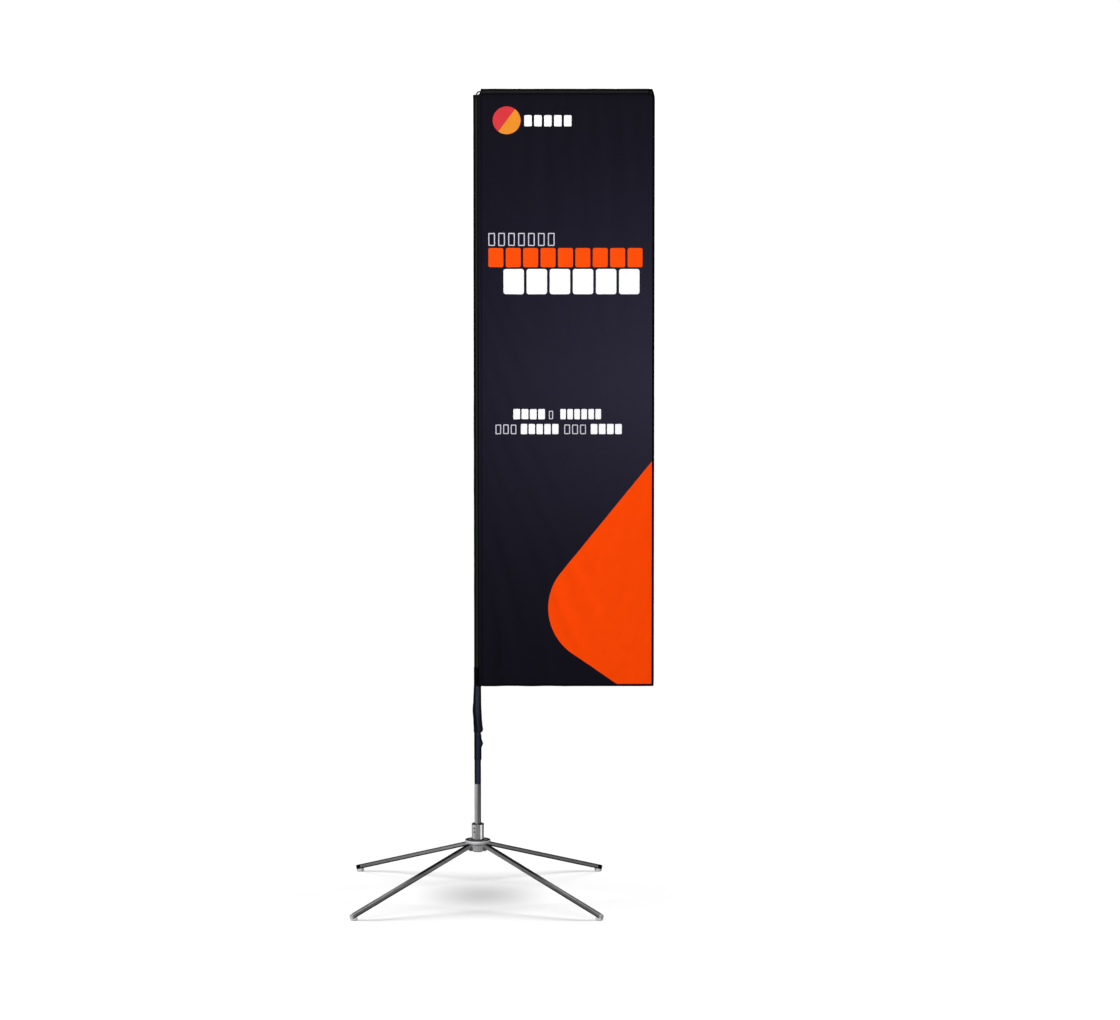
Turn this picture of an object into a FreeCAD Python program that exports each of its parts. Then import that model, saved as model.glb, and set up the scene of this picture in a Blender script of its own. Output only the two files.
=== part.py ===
"""Rectangular banner flag on a composite pole, standing in a folding four-leg base.

Millimetres, +Z up. The origin is on the pole's axis at floor level. The flag flies towards +X and faces -Y.
The base is a slotted hub with four square-tube legs that fold down, and a turntable that turns in it on
two bushes. The mast stands in the socket: an aluminium foot, two composite sections, a corner wire and a
top arm. The cloth is made as plain closed solids of the right size: panel, sleeves, binding, tail, strap.
"""

import FreeCAD, Part
import math
import os

V = FreeCAD.Vector

# Legs: square tube with a rounded heel on a pin, running down to a rubber foot.
LEG_COUNT = 4
LEG_FIRST_ANGLE = 45.0
LEG_REACH = 583.0  # pole axis to the middle of the leg's outer end
LEG_SLOPE = 16.5  # degrees below the horizontal when open
LEG_SECTION = 15.0
LEG_WALL = 1.5
LEG_CORNER = 3.0
LEG_END_HEIGHT = 13.0  # middle of the leg's outer end above the floor
HEEL_PLUG_LENGTH = 38.0
END_PLUG_LENGTH = 20.0
END_PLUG_CAP = 6.0
END_PLUG_CHAMFER = 0.6
TIP_BEYOND_REACH = 1.6  # the plug's outer face past the leg's reach, along the leg
PIN_RADIUS = 2.5
PIN_CLEARANCE = 0.06
PRESS_CLEARANCE = 0.02
FIT_CLEARANCE = 0.05

# Feet: a round pad under the leg's end, with a peg that goes up through the tube into its end plug.
FOOT_RADIUS = 12.0
FOOT_ROUND = 3.5
FOOT_TOE = 1.5  # thickness of the lip that turns up over the leg's outer end
FOOT_TOE_INSET = 1.2
FOOT_TOE_TOP = 3.0  # above the leg's axis
FOOT_TOE_ROOT = 2.5  # how far the lip goes down into the pad
FOOT_INSET = 10.5  # pad's axis back from the leg's end
PEG_RADIUS = 3.0
PEG_DEPTH = 7.0

# Hub: a turned body with a wide rim, four slots and a bored core.
RIM_BEYOND_PIN = 17.0
RIM_THICKNESS = 5.4
RIM_CHAMFER = 0.8
BARREL_TOP_BEYOND_PIN = 10.5
BARREL_LOW_BEYOND_PIN = 5.5
HUB_HEIGHT = 33.4
HUB_BOTTOM_ROUND = 3.0
HEEL_HEADROOM = 0.9
SLOT_CLEARANCE = 0.4
SLOT_WALL = 0.65  # least metal between a slot and the recess for the retaining ring
STOP_CLEARANCE = 0.1
STOP_BRIDGE_WIDTH = 9.0  # width of rim left over each slot, which the open leg butts against

# Bushes, washer and turntable.
SPINDLE_CLEARANCE = 0.2
SPINDLE_WALL = 1.8
BUSH_WALL = 1.5
BUSH_LENGTH = 9.0
BUSH_FLANGE_WIDTH = 2.82
BUSH_FLANGE = 1.0
RUNNING_CLEARANCE = 0.08
THRUST_WASHER = 0.6
THRUST_WASHER_INSET = 2.0
TURNTABLE_THICKNESS = 4.0
TURNTABLE_CHAMFER = 1.2
RETAINER_RECESS = 6.0
RETAINER_WASHER = 1.0
RETAINER_WASHER_INSET = 0.8
RETAINER_RING = 1.2
RETAINER_RING_WIDTH = 2.6
RETAINER_RING_GAP = 6.0
RETAINER_GROOVE = 0.7
SPINDLE_RECESS = 1.0  # spindle's lower end above the hub's underside
FLOOR_RECESS = 2.0
FLOOR_THICKNESS = 4.0
DRAIN_RADIUS = 2.5

# Socket on the turntable.
REDUCER_WALL = 6.35
SOCKET_WALL = 3.0
SOCKET_HEIGHT = 53.0
SOCKET_WELD = 1.6
SOCKET_LIP = 0.6
REDUCER_FLANGE = 2.0  # the reducer's flange stands on the socket's rim
REDUCER_CHAMFER = 0.5
SET_SCREW_RADIUS = 3.0
SET_SCREW_STANDS_OUT = 0.1
SET_SCREW_HEIGHTS = (41.0, 28.0)  # above the turntable's top face
SET_SCREW_ANGLE = 235.0
SET_SCREW_KEY = 1.5  # centre to corner
SET_SCREW_KEY_DEPTH = 3.0

# Mast: foot and two sections of one diameter, joined by ferrules.
POLE_RADIUS = 11.0
POLE_WALL = 1.8
FOOT_LENGTH = 221.0
BASE_SECTION_LENGTH = 1149.0
FERRULE_LENGTH = 160.0
FERRULE_WALL = 1.5
PLUG_DEPTH = 40.0
PLUG_FLANGE = 4.0

# Arm over the top of the flag.
WIRE_RADIUS = 2.25
WIRE_BEND = 11.0
WIRE_IN_FERRULE = 34.0
ARM_FERRULE_START = 30.0
ARM_FERRULE_LENGTH = 70.0
ARM_FERRULE_WALL = 1.5
ARM_RADIUS = 4.0
ARM_CAP_WALL = 1.4
ARM_CAP_LENGTH = 16.0
ARM_CAP_END = 3.0
ARM_CAP_GAP = 1.0

# Flag cloth.
FLAG_WIDTH = 600.0  # outside of the pole sleeve to the free edge
FLAG_HEIGHT = 2000.0
FLAG_ABOVE_SOCKET = 468.0  # flag's lower edge above the socket's rim
CLOTH = 0.8
SLEEVE_SLACK = 0.15
SLEEVE_TOP_GAP = 20.0  # pole sleeve's top below the flag's top edge
ARM_SLEEVE_HEIGHT = 18.0
ARM_SLEEVE_SLACK = 0.3
ARM_SLEEVE_START = 10.5
BINDING_WIDTH = 8.0
BINDING_THICKNESS = 2.0
CORNER_PATCH_LENGTH = 20.0
CORNER_PATCH_THICKNESS = 2.8
CORNER_WIDTH = 8.4
CORNER_DROP = 31.0
LOWER_CORNER_RADIUS = 6.0
PATCH_HEIGHT = 65.0
PATCH_THICKNESS = 0.6
RIVET_RADIUS = 4.0
RIVET_HEAD = 1.2
RIVET_ROUND = 0.7
RIVET_INSET = 6.5  # rivet's axis from the end of the arm's sleeve
RIVET_BELOW_ARM = 4.0
RIVET_SHANK = 1.5
SEAM_GAP = 0.05

# Tail of the pole sleeve, and the strap that is sewn inside it and wraps the pole below it.
TAIL_LENGTH = 154.0
TAIL_BULGE_DROP = 77.0
TAIL_TOP_OFF_POLE = 1.1
TAIL_BULGE_OFF_POLE = 3.8
TAIL_END_OFF_POLE = 5.2
STRAP_THICKNESS = 1.05  # two turns
STRAP_LENGTH = 86.0
STRAP_BELOW_TAIL = 9.0
STRAP_SEAM_DROP = 20.0  # strap's seam below the top of the tail
STRAP_TAB_WIDTH = 16.0
STRAP_TAB_THICKNESS = 0.8
FREE_END_REACH = 6.5  # the strap's free corner beyond its wrap
FREE_END_DROP = 30.0  # its tip below the top of the wrap
FREE_END_RISE = 22.0
FREE_END_FALL = 14.0
FREE_END_THICKNESS = 1.6

# Levels worked out from the sizes above.
SLOPE = math.radians(LEG_SLOPE)
SPINDLE_INNER = POLE_RADIUS + SPINDLE_CLEARANCE
SPINDLE_RADIUS = SPINDLE_INNER + SPINDLE_WALL
CORE_BORE = SPINDLE_RADIUS + RUNNING_CLEARANCE + BUSH_WALL
BUSH_FLANGE_RADIUS = CORE_BORE + BUSH_FLANGE_WIDTH
SLOT_FLOOR = BUSH_FLANGE_RADIUS + FIT_CLEARANCE + SLOT_WALL
PIVOT_RADIUS = SLOT_FLOOR + SLOT_CLEARANCE + LEG_SECTION / 2
RIM_RADIUS = PIVOT_RADIUS + RIM_BEYOND_PIN
BARREL_TOP_RADIUS = PIVOT_RADIUS + BARREL_TOP_BEYOND_PIN
BARREL_LOW_RADIUS = PIVOT_RADIUS + BARREL_LOW_BEYOND_PIN
PIVOT_Z = LEG_END_HEIGHT + (LEG_REACH - PIVOT_RADIUS) * math.tan(SLOPE)
LEG_TIP = (LEG_REACH - PIVOT_RADIUS) / math.cos(SLOPE) + TIP_BEYOND_REACH  # pin to the plug's outer face
LEG_LENGTH = LEG_TIP - END_PLUG_CAP  # pin to the tube's outer end
HUB_TOP = PIVOT_Z + LEG_SECTION / 2 + HEEL_HEADROOM
HUB_BOTTOM = HUB_TOP - HUB_HEIGHT
SPINDLE_BOTTOM = HUB_BOTTOM + SPINDLE_RECESS
TURNTABLE_LOW = HUB_TOP + THRUST_WASHER + RUNNING_CLEARANCE
TURNTABLE_TOP = TURNTABLE_LOW + TURNTABLE_THICKNESS
POLE_SEAT = SPINDLE_BOTTOM + FLOOR_RECESS + FLOOR_THICKNESS
SOCKET_TOP = TURNTABLE_TOP + SOCKET_HEIGHT
REDUCER_INNER = POLE_RADIUS + 2 * FIT_CLEARANCE
SOCKET_INNER = REDUCER_INNER + REDUCER_WALL + FIT_CLEARANCE
SOCKET_RADIUS = SOCKET_INNER + SOCKET_WALL
FOOT_TOP = POLE_SEAT + FOOT_LENGTH
BASE_TOP = FOOT_TOP + BASE_SECTION_LENGTH
POLE_INNER = POLE_RADIUS - POLE_WALL
FLAG_BOTTOM = SOCKET_TOP + FLAG_ABOVE_SOCKET
FLAG_TOP = FLAG_BOTTOM + FLAG_HEIGHT
SLEEVE_TOP = FLAG_TOP - SLEEVE_TOP_GAP
ARM_Z = FLAG_TOP - ARM_SLEEVE_HEIGHT / 2
ARM_FERRULE_RADIUS = ARM_RADIUS + ARM_FERRULE_WALL
ARM_SLEEVE_DEPTH = 2 * (ARM_FERRULE_RADIUS + ARM_SLEEVE_SLACK + CLOTH)
MAST_TOP = ARM_Z - WIRE_BEND - PLUG_FLANGE  # top of the upper section, under the plug's flange
SLEEVE_INNER = POLE_RADIUS + SLEEVE_SLACK
SLEEVE_OUTER = SLEEVE_INNER + CLOTH
FREE_EDGE = FLAG_WIDTH - SLEEVE_OUTER
PANEL_LEFT = SLEEVE_OUTER + SEAM_GAP
PANEL_TOP = FLAG_TOP - ARM_SLEEVE_HEIGHT - SEAM_GAP
ARM_SLEEVE_END = FREE_EDGE - CORNER_PATCH_LENGTH
ARM_END = ARM_SLEEVE_END - ARM_CAP_END - ARM_CAP_GAP
TAIL_TOP = FLAG_BOTTOM - SEAM_GAP
TAIL_END = TAIL_TOP - TAIL_LENGTH
STRAP_TOP = TAIL_END - STRAP_BELOW_TAIL
STRAP_RADIUS = POLE_RADIUS + FIT_CLEARANCE + STRAP_THICKNESS
LEG_ANGLES = [LEG_FIRST_ANGLE + i * 360.0 / LEG_COUNT for i in range(LEG_COUNT)]


def cylinder(radius, low, high):
    """A cylinder on the pole's axis between two heights."""
    return Part.makeCylinder(radius, high - low, V(0, 0, low))


def tube(outer, inner, low, high):
    """A tube on the pole's axis between two heights."""
    return cylinder(outer, low, high).cut(cylinder(inner, low - 1, high + 1))


def block(x_low, x_high, y_low, y_high, z_low, z_high):
    """A box given by its limits."""
    return Part.makeBox(x_high - x_low, y_high - y_low, z_high - z_low, V(x_low, y_low, z_low))


def turned(outline):
    """A ring or solid turned about the pole's axis from (radius, height) points."""
    points = [V(r, 0, z) for r, z in outline]
    face = Part.Face(Part.makePolygon(points + points[:1]))
    return face.revolve(V(0, 0, 0), V(0, 0, 1), 360)


def plate(points, y_low, y_high):
    """A flat plate across the flag's plane from (x, z) points."""
    corners = [V(x, y_low, z) for x, z in points]
    face = Part.Face(Part.makePolygon(corners + corners[:1]))
    return face.extrude(V(0, y_high - y_low, 0))


def rod_x(radius, x_low, x_high, z):
    """A round rod along X in the flag's plane."""
    return Part.makeCylinder(radius, x_high - x_low, V(x_low, 0, z), V(1, 0, 0))


def rounded_bar(size, corner, x_low, x_high):
    """A square bar along X with rounded long edges, centred on the X axis."""
    half = size / 2
    bar = block(x_low, x_high, -half, half, -half, half)
    long_edges = [e for e in bar.Edges if abs(e.tangentAt(e.FirstParameter).x) > 0.9]
    return bar.makeFillet(corner, long_edges)


def spun(shape, degrees):
    """A copy turned about the pole's axis."""
    copy = shape.copy()
    copy.rotate(V(0, 0, 0), V(0, 0, 1), degrees)
    return copy


def leg_placed(shape, degrees):
    """Moves a piece from the leg's own frame (pin at the origin, leg along +X) to its place on the hub."""
    copy = shape.copy()
    copy.rotate(V(0, 0, 0), V(0, 1, 0), LEG_SLOPE)
    copy.translate(V(PIVOT_RADIUS, 0, PIVOT_Z))
    return spun(copy, degrees)


def export(name, *shapes):
    """Writes one sub-part, as one solid or as a group of separate solids."""
    solids = [s for shape in shapes for s in shape.Solids]
    whole = solids[0] if len(solids) == 1 else Part.makeCompound(solids)
    whole.exportStep(os.path.join("parts", name + ".step"))


# ---------------------------------------------------------------- legs


def heel_envelope(half_width):
    """The leg's side outline: round about the pin, straight from there to the outer end."""
    heel = Part.makeCylinder(LEG_SECTION / 2, 2 * half_width, V(0, -half_width, 0), V(0, 1, 0))
    return heel.fuse(block(0, LEG_LENGTH, -half_width, half_width, -LEG_SECTION, LEG_SECTION))


def pin_hole(half_width):
    return Part.makeCylinder(PIN_RADIUS + PIN_CLEARANCE, 2 * half_width, V(0, -half_width, 0), V(0, 1, 0))


def foot_axis_along_leg():
    """Where the foot's axis meets the leg's underside, as a distance from the pin along the leg."""
    reach = LEG_REACH - FOOT_INSET - PIVOT_RADIUS
    return (reach + LEG_SECTION / 2 * math.sin(SLOPE)) / math.cos(SLOPE)


def foot_peg(radius, depth):
    """The foot's peg, square to the leg, from below the leg's underside up into the end plug."""
    start = V(foot_axis_along_leg(), 0, -LEG_SECTION / 2 - PEG_RADIUS / 2)
    return Part.makeCylinder(radius, depth + PEG_RADIUS / 2, start)


def leg_tube():
    """Square tube whose heel is rounded about the pin, with a hole for the foot's peg."""
    inner = LEG_SECTION - 2 * LEG_WALL
    bar = rounded_bar(LEG_SECTION, LEG_CORNER, -LEG_SECTION, LEG_LENGTH)
    hollow = rounded_bar(inner, LEG_CORNER - LEG_WALL, -LEG_SECTION - 1, LEG_LENGTH + 1)
    body = bar.cut(hollow).common(heel_envelope(LEG_SECTION)).cut(pin_hole(LEG_SECTION))
    return body.cut(foot_peg(PEG_RADIUS + FIT_CLEARANCE, PEG_DEPTH))


def plug_bar(low, high):
    """A bar that fits inside the leg's tube."""
    size = LEG_SECTION - 2 * LEG_WALL - 2 * FIT_CLEARANCE
    return rounded_bar(size, LEG_CORNER - LEG_WALL, low, high)


def heel_plug():
    """Nylon plug in the heel end, which keeps the pin from crushing the tube."""
    body = plug_bar(-LEG_SECTION, HEEL_PLUG_LENGTH).common(heel_envelope(LEG_SECTION))
    return body.cut(pin_hole(LEG_SECTION))


def end_plug():
    """Plug that closes the outer end, with a hole for the foot's peg."""
    cap = rounded_bar(LEG_SECTION, LEG_CORNER, LEG_LENGTH, LEG_TIP)
    outer_edges = [e for e in cap.Edges if e.CenterOfMass.x > LEG_TIP - END_PLUG_CHAMFER / 2]
    cap = cap.makeChamfer(END_PLUG_CHAMFER, outer_edges)
    body = plug_bar(LEG_LENGTH - END_PLUG_LENGTH, LEG_LENGTH).fuse(cap)
    return body.cut(foot_peg(PEG_RADIUS + FIT_CLEARANCE, PEG_DEPTH + FIT_CLEARANCE))


def leg_underside():
    """Everything above the leg's underside, as a cutter for the foot's pad."""
    high = 4 * LEG_SECTION
    return block(0, 2 * LEG_LENGTH, -high, high, -LEG_SECTION / 2, high)


def foot_toe():
    """The pad's lip, which turns up over the leg's outer end."""
    half = LEG_SECTION / 2 - FOOT_TOE_INSET
    lip = block(LEG_TIP, LEG_TIP + FOOT_TOE, -half, half, -LEG_SECTION / 2 - FOOT_TOE_ROOT, FOOT_TOE_TOP)
    outer_edges = [e for e in lip.Edges if e.CenterOfMass.x > LEG_TIP + 0.9 * FOOT_TOE]
    outer_edges = [e for e in outer_edges if e.CenterOfMass.z > -half]
    return lip.makeFillet(FOOT_TOE / 2, outer_edges)


def foot():
    """Round pad under the leg's end, with its lip and its peg. Made in place on the +X leg."""
    x = LEG_REACH - FOOT_INSET
    top = LEG_END_HEIGHT + LEG_SECTION
    pad = Part.makeCylinder(FOOT_RADIUS, top, V(x, 0, 0))
    lower_edge = [e for e in pad.Edges if e.CenterOfMass.z < 0.01 and len(e.Vertexes) == 1]
    pad = pad.makeFillet(FOOT_ROUND, lower_edge).cut(leg_placed(leg_underside(), 0))
    pad = pad.fuse(leg_placed(foot_toe(), 0))
    return pad.fuse(leg_placed(foot_peg(PEG_RADIUS, PEG_DEPTH), 0)).removeSplitter()


def make_legs():
    pieces = {
        "leg_tube": leg_placed(leg_tube(), 0),
        "heel_plug": leg_placed(heel_plug(), 0),
        "end_plug": leg_placed(end_plug(), 0),
        "foot": foot(),
    }
    for number, angle in enumerate(LEG_ANGLES, start=1):
        for name, shape in pieces.items():
            export(f"{name}_{number}", spun(shape, angle))


# ---------------------------------------------------------------- hub


def slot_cutter():
    """The space one leg needs: open below and outside, under a rim bridge that stops the open leg."""
    half = LEG_SECTION / 2 + SLOT_CLEARANCE
    bridge = RIM_RADIUS - STOP_BRIDGE_WIDTH
    beyond = RIM_RADIUS + 10.0
    crown = PIVOT_Z + (LEG_SECTION / 2 + STOP_CLEARANCE) / math.cos(SLOPE)

    def leg_top(x):
        return crown - (x - PIVOT_RADIUS) * math.tan(SLOPE)

    outline = [
        (SLOT_FLOOR, HUB_BOTTOM - 1),
        (SLOT_FLOOR, HUB_TOP + 1),
        (bridge, HUB_TOP + 1),
        (bridge, leg_top(bridge)),
        (beyond, leg_top(beyond)),
        (beyond, HUB_BOTTOM - 1),
    ]
    return plate(outline, -half, half)


def hub_body():
    """Turned hub with its slots, pin holes, core bore and the recess for the retaining ring."""
    rim_low = HUB_TOP - RIM_THICKNESS
    body = turned(
        [
            (0, HUB_BOTTOM),
            (BARREL_LOW_RADIUS - HUB_BOTTOM_ROUND, HUB_BOTTOM),
            (BARREL_LOW_RADIUS, HUB_BOTTOM + HUB_BOTTOM_ROUND),
            (BARREL_TOP_RADIUS, rim_low),
            (RIM_RADIUS - RIM_CHAMFER, rim_low),
            (RIM_RADIUS, rim_low + RIM_CHAMFER),
            (RIM_RADIUS, HUB_TOP - RIM_CHAMFER),
            (RIM_RADIUS - RIM_CHAMFER, HUB_TOP),
            (0, HUB_TOP),
        ]
    )
    body = body.cut(cylinder(CORE_BORE, HUB_BOTTOM - 1, HUB_TOP + 1))
    recess = BUSH_FLANGE_RADIUS + FIT_CLEARANCE
    body = body.cut(cylinder(recess, HUB_BOTTOM - 1, HUB_BOTTOM + RETAINER_RECESS))
    body = body.cut(cylinder(BUSH_FLANGE_RADIUS + FIT_CLEARANCE, HUB_TOP - BUSH_FLANGE, HUB_TOP + 1))
    reach = RIM_RADIUS
    hole = Part.makeCylinder(PIN_RADIUS, 2 * reach, V(PIVOT_RADIUS, -reach, PIVOT_Z), V(0, 1, 0))
    for angle in LEG_ANGLES:
        body = body.cut(spun(slot_cutter(), angle)).cut(spun(hole, angle))
    return body


def pin_half_length():
    """Half a pin, short of the barrel's surface where the pin comes out."""
    share = (PIVOT_Z - HUB_BOTTOM - HUB_BOTTOM_ROUND) / (HUB_HEIGHT - RIM_THICKNESS - HUB_BOTTOM_ROUND)
    barrel = BARREL_LOW_RADIUS + share * (BARREL_TOP_RADIUS - BARREL_LOW_RADIUS)
    return math.sqrt(barrel**2 - (PIVOT_RADIUS + PIN_RADIUS) ** 2) - 0.5


def pivot_pin():
    half = pin_half_length()
    start = V(PIVOT_RADIUS, -half, PIVOT_Z)
    pin = Part.makeCylinder(PIN_RADIUS - PRESS_CLEARANCE, 2 * half, start, V(0, 1, 0))
    return pin.makeChamfer(0.4, [e for e in pin.Edges if len(e.Vertexes) == 1])


def bush(flange_at_top):
    """Flanged nylon bush pressed into the top or the bottom of the hub's core."""
    wall_out = CORE_BORE - PRESS_CLEARANCE
    wall_in = SPINDLE_RADIUS + RUNNING_CLEARANCE
    seat = HUB_TOP - BUSH_FLANGE if flange_at_top else HUB_BOTTOM + RETAINER_RECESS
    low, high = (seat - BUSH_LENGTH, seat) if flange_at_top else (seat, seat + BUSH_LENGTH)
    flange = (seat, seat + BUSH_FLANGE) if flange_at_top else (seat - BUSH_FLANGE, seat)
    body = tube(wall_out, wall_in, low, high)
    return body.fuse(tube(BUSH_FLANGE_RADIUS, wall_in, *flange)).removeSplitter()


def make_hub():
    export("hub_body", hub_body())
    export("leg_pivot_pins", *[spun(pivot_pin(), angle) for angle in LEG_ANGLES])
    export("upper_bush", bush(True))
    export("lower_bush", bush(False))
    inner = SPINDLE_RADIUS + RUNNING_CLEARANCE
    export("thrust_washer", tube(RIM_RADIUS - THRUST_WASHER_INSET, inner, HUB_TOP, HUB_TOP + THRUST_WASHER))


# ---------------------------------------------------------------- turntable and socket


def retainer_level():
    """Underside of the lower bush's flange, where the retaining washer runs."""
    return HUB_BOTTOM + RETAINER_RECESS - BUSH_FLANGE - RUNNING_CLEARANCE


def spindle_tube():
    """Tube that turns in the bushes, with a groove for the retaining ring."""
    ring_top = retainer_level() - RETAINER_WASHER
    groove = tube(SPINDLE_RADIUS + 1, SPINDLE_RADIUS - RETAINER_GROOVE, ring_top - RETAINER_RING, ring_top)
    return tube(SPINDLE_RADIUS, SPINDLE_INNER, SPINDLE_BOTTOM, TURNTABLE_TOP).cut(groove)


def socket_floor():
    """Disc in the bottom of the spindle tube that the mast stands on, with a drain hole."""
    return tube(SPINDLE_INNER - FIT_CLEARANCE, DRAIN_RADIUS, POLE_SEAT - FLOOR_THICKNESS, POLE_SEAT)


def turntable_plate():
    """Round plate over the hub with its top edge chamfered."""
    inner = SPINDLE_RADIUS + PRESS_CLEARANCE
    edge = RIM_RADIUS
    return turned(
        [
            (inner, TURNTABLE_LOW),
            (edge, TURNTABLE_LOW),
            (edge, TURNTABLE_TOP - TURNTABLE_CHAMFER),
            (edge - TURNTABLE_CHAMFER, TURNTABLE_TOP),
            (inner, TURNTABLE_TOP),
        ]
    )


def screw_cutter(radius, depth, height):
    """A radial cylinder at a set screw's place, from outside the socket inwards to a given radius."""
    angle = math.radians(SET_SCREW_ANGLE)
    out = V(math.cos(angle), math.sin(angle), 0)
    length = SOCKET_RADIUS + 5 - depth
    return Part.makeCylinder(radius, length, out * depth + V(0, 0, TURNTABLE_TOP + height), out)


def socket_tube():
    """Steel socket with a weld round its foot and a rounded lip."""
    body = turned(
        [
            (SOCKET_INNER, TURNTABLE_TOP),
            (SOCKET_RADIUS + SOCKET_WELD, TURNTABLE_TOP),
            (SOCKET_RADIUS, TURNTABLE_TOP + SOCKET_WELD),
            (SOCKET_RADIUS, SOCKET_TOP - SOCKET_LIP),
            (SOCKET_RADIUS - SOCKET_LIP, SOCKET_TOP),
            (SOCKET_INNER + SOCKET_LIP, SOCKET_TOP),
            (SOCKET_INNER, SOCKET_TOP - SOCKET_LIP),
        ]
    )
    for height in SET_SCREW_HEIGHTS:
        body = body.cut(screw_cutter(SET_SCREW_RADIUS + FIT_CLEARANCE, POLE_RADIUS, height))
    return body


def reducer_bushing():
    """Nylon reducer that fills the socket round the mast's foot, with a flange over the socket's rim."""
    body = turned(
        [
            (REDUCER_INNER, TURNTABLE_TOP),
            (SOCKET_INNER - FIT_CLEARANCE, TURNTABLE_TOP),
            (SOCKET_INNER - FIT_CLEARANCE, SOCKET_TOP),
            (SOCKET_RADIUS, SOCKET_TOP),
            (SOCKET_RADIUS, SOCKET_TOP + REDUCER_FLANGE - REDUCER_CHAMFER),
            (SOCKET_RADIUS - REDUCER_CHAMFER, SOCKET_TOP + REDUCER_FLANGE),
            (REDUCER_INNER, SOCKET_TOP + REDUCER_FLANGE),
        ]
    )
    for height in SET_SCREW_HEIGHTS:
        body = body.cut(screw_cutter(SET_SCREW_RADIUS + FIT_CLEARANCE, 0, height))
    return body


def set_screw(height):
    """Grub screw with a hex key hole, its tip just clear of the mast's foot."""
    angle = math.radians(SET_SCREW_ANGLE)
    out = V(math.cos(angle), math.sin(angle), 0)
    length = SOCKET_RADIUS + SET_SCREW_STANDS_OUT - REDUCER_INNER
    tip = out * REDUCER_INNER + V(0, 0, TURNTABLE_TOP + height)
    body = Part.makeCylinder(SET_SCREW_RADIUS, length, tip, out)
    body = body.makeChamfer(0.5, [e for e in body.Edges if len(e.Vertexes) == 1])
    across = V(-out.y, out.x, 0)
    key_floor = tip + out * (length - SET_SCREW_KEY_DEPTH)
    corners = []
    for i in range(6):
        turn = math.radians(60 * i)
        corners.append(key_floor + (across * math.cos(turn) + V(0, 0, math.sin(turn))) * SET_SCREW_KEY)
    return body.cut(Part.Face(Part.makePolygon(corners + corners[:1])).extrude(out * 2 * SET_SCREW_KEY_DEPTH))


def make_turntable():
    export("turntable_plate", turntable_plate())
    export("spindle_tube", spindle_tube())
    export("socket_floor", socket_floor())
    export("socket_tube", socket_tube())
    export("reducer_bushing", reducer_bushing())
    for name, height in zip(("set_screw_upper", "set_screw_lower"), SET_SCREW_HEIGHTS):
        export(name, set_screw(height))
    top = retainer_level()
    washer_bottom = top - RETAINER_WASHER
    washer_radius = BUSH_FLANGE_RADIUS - RETAINER_WASHER_INSET
    export("retaining_washer", tube(washer_radius, SPINDLE_RADIUS + FIT_CLEARANCE, washer_bottom, top))
    ring_inner = SPINDLE_RADIUS - RETAINER_GROOVE + FIT_CLEARANCE
    ring_outer = SPINDLE_RADIUS + RETAINER_RING_WIDTH
    ring = tube(ring_outer, ring_inner, washer_bottom - RETAINER_RING + FIT_CLEARANCE, washer_bottom)
    half_gap = RETAINER_RING_GAP / 2
    gap = block(0, 2 * ring_outer, -half_gap, half_gap, washer_bottom - 2 * RETAINER_RING, washer_bottom + 1)
    export("retaining_ring", ring.cut(gap))


# ---------------------------------------------------------------- mast and arm


def ferrule(middle):
    half = FERRULE_LENGTH / 2
    outer = POLE_INNER - FIT_CLEARANCE
    return tube(outer, outer - FERRULE_WALL, middle - half, middle + half)


def top_plug():
    """Plug in the top of the mast that the corner wire stands in."""
    bore = WIRE_RADIUS + FIT_CLEARANCE
    body = cylinder(POLE_INNER - FIT_CLEARANCE, MAST_TOP - PLUG_DEPTH, MAST_TOP)
    body = body.fuse(cylinder(POLE_RADIUS, MAST_TOP, MAST_TOP + PLUG_FLANGE)).removeSplitter()
    return body.cut(cylinder(bore, MAST_TOP - PLUG_DEPTH + 3, MAST_TOP + PLUG_FLANGE + 1))


def corner_wire():
    """Steel wire from the mast's plug, round the flag's corner and into the arm's ferrule."""
    low = V(0, 0, MAST_TOP - PLUG_DEPTH + 3)
    bend_start = V(0, 0, ARM_Z - WIRE_BEND)
    centre = V(WIRE_BEND, 0, ARM_Z - WIRE_BEND)
    middle = centre + V(-math.cos(math.pi / 4), 0, math.sin(math.pi / 4)) * WIRE_BEND
    bend_end = V(WIRE_BEND, 0, ARM_Z)
    far = V(ARM_FERRULE_START + WIRE_IN_FERRULE, 0, ARM_Z)
    path = Part.Wire(
        [
            Part.LineSegment(low, bend_start).toShape(),
            Part.Arc(bend_start, middle, bend_end).toShape(),
            Part.LineSegment(bend_end, far).toShape(),
        ]
    )
    section = Part.Wire(Part.makeCircle(WIRE_RADIUS, low, V(0, 0, 1)))
    return path.makePipeShell([section], True, True)


def arm_ferrule():
    """Stepped ferrule: the wire in one end, the arm in the other."""
    start, end = ARM_FERRULE_START, ARM_FERRULE_START + ARM_FERRULE_LENGTH
    step = start + WIRE_IN_FERRULE + 1
    body = rod_x(ARM_FERRULE_RADIUS, start, end, ARM_Z)
    body = body.cut(rod_x(WIRE_RADIUS + FIT_CLEARANCE, start - 1, step, ARM_Z))
    return body.cut(rod_x(ARM_RADIUS + FIT_CLEARANCE, step, end + 1, ARM_Z))


def arm_rod():
    return rod_x(ARM_RADIUS, ARM_FERRULE_START + WIRE_IN_FERRULE + 1.5, ARM_END, ARM_Z)


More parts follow.
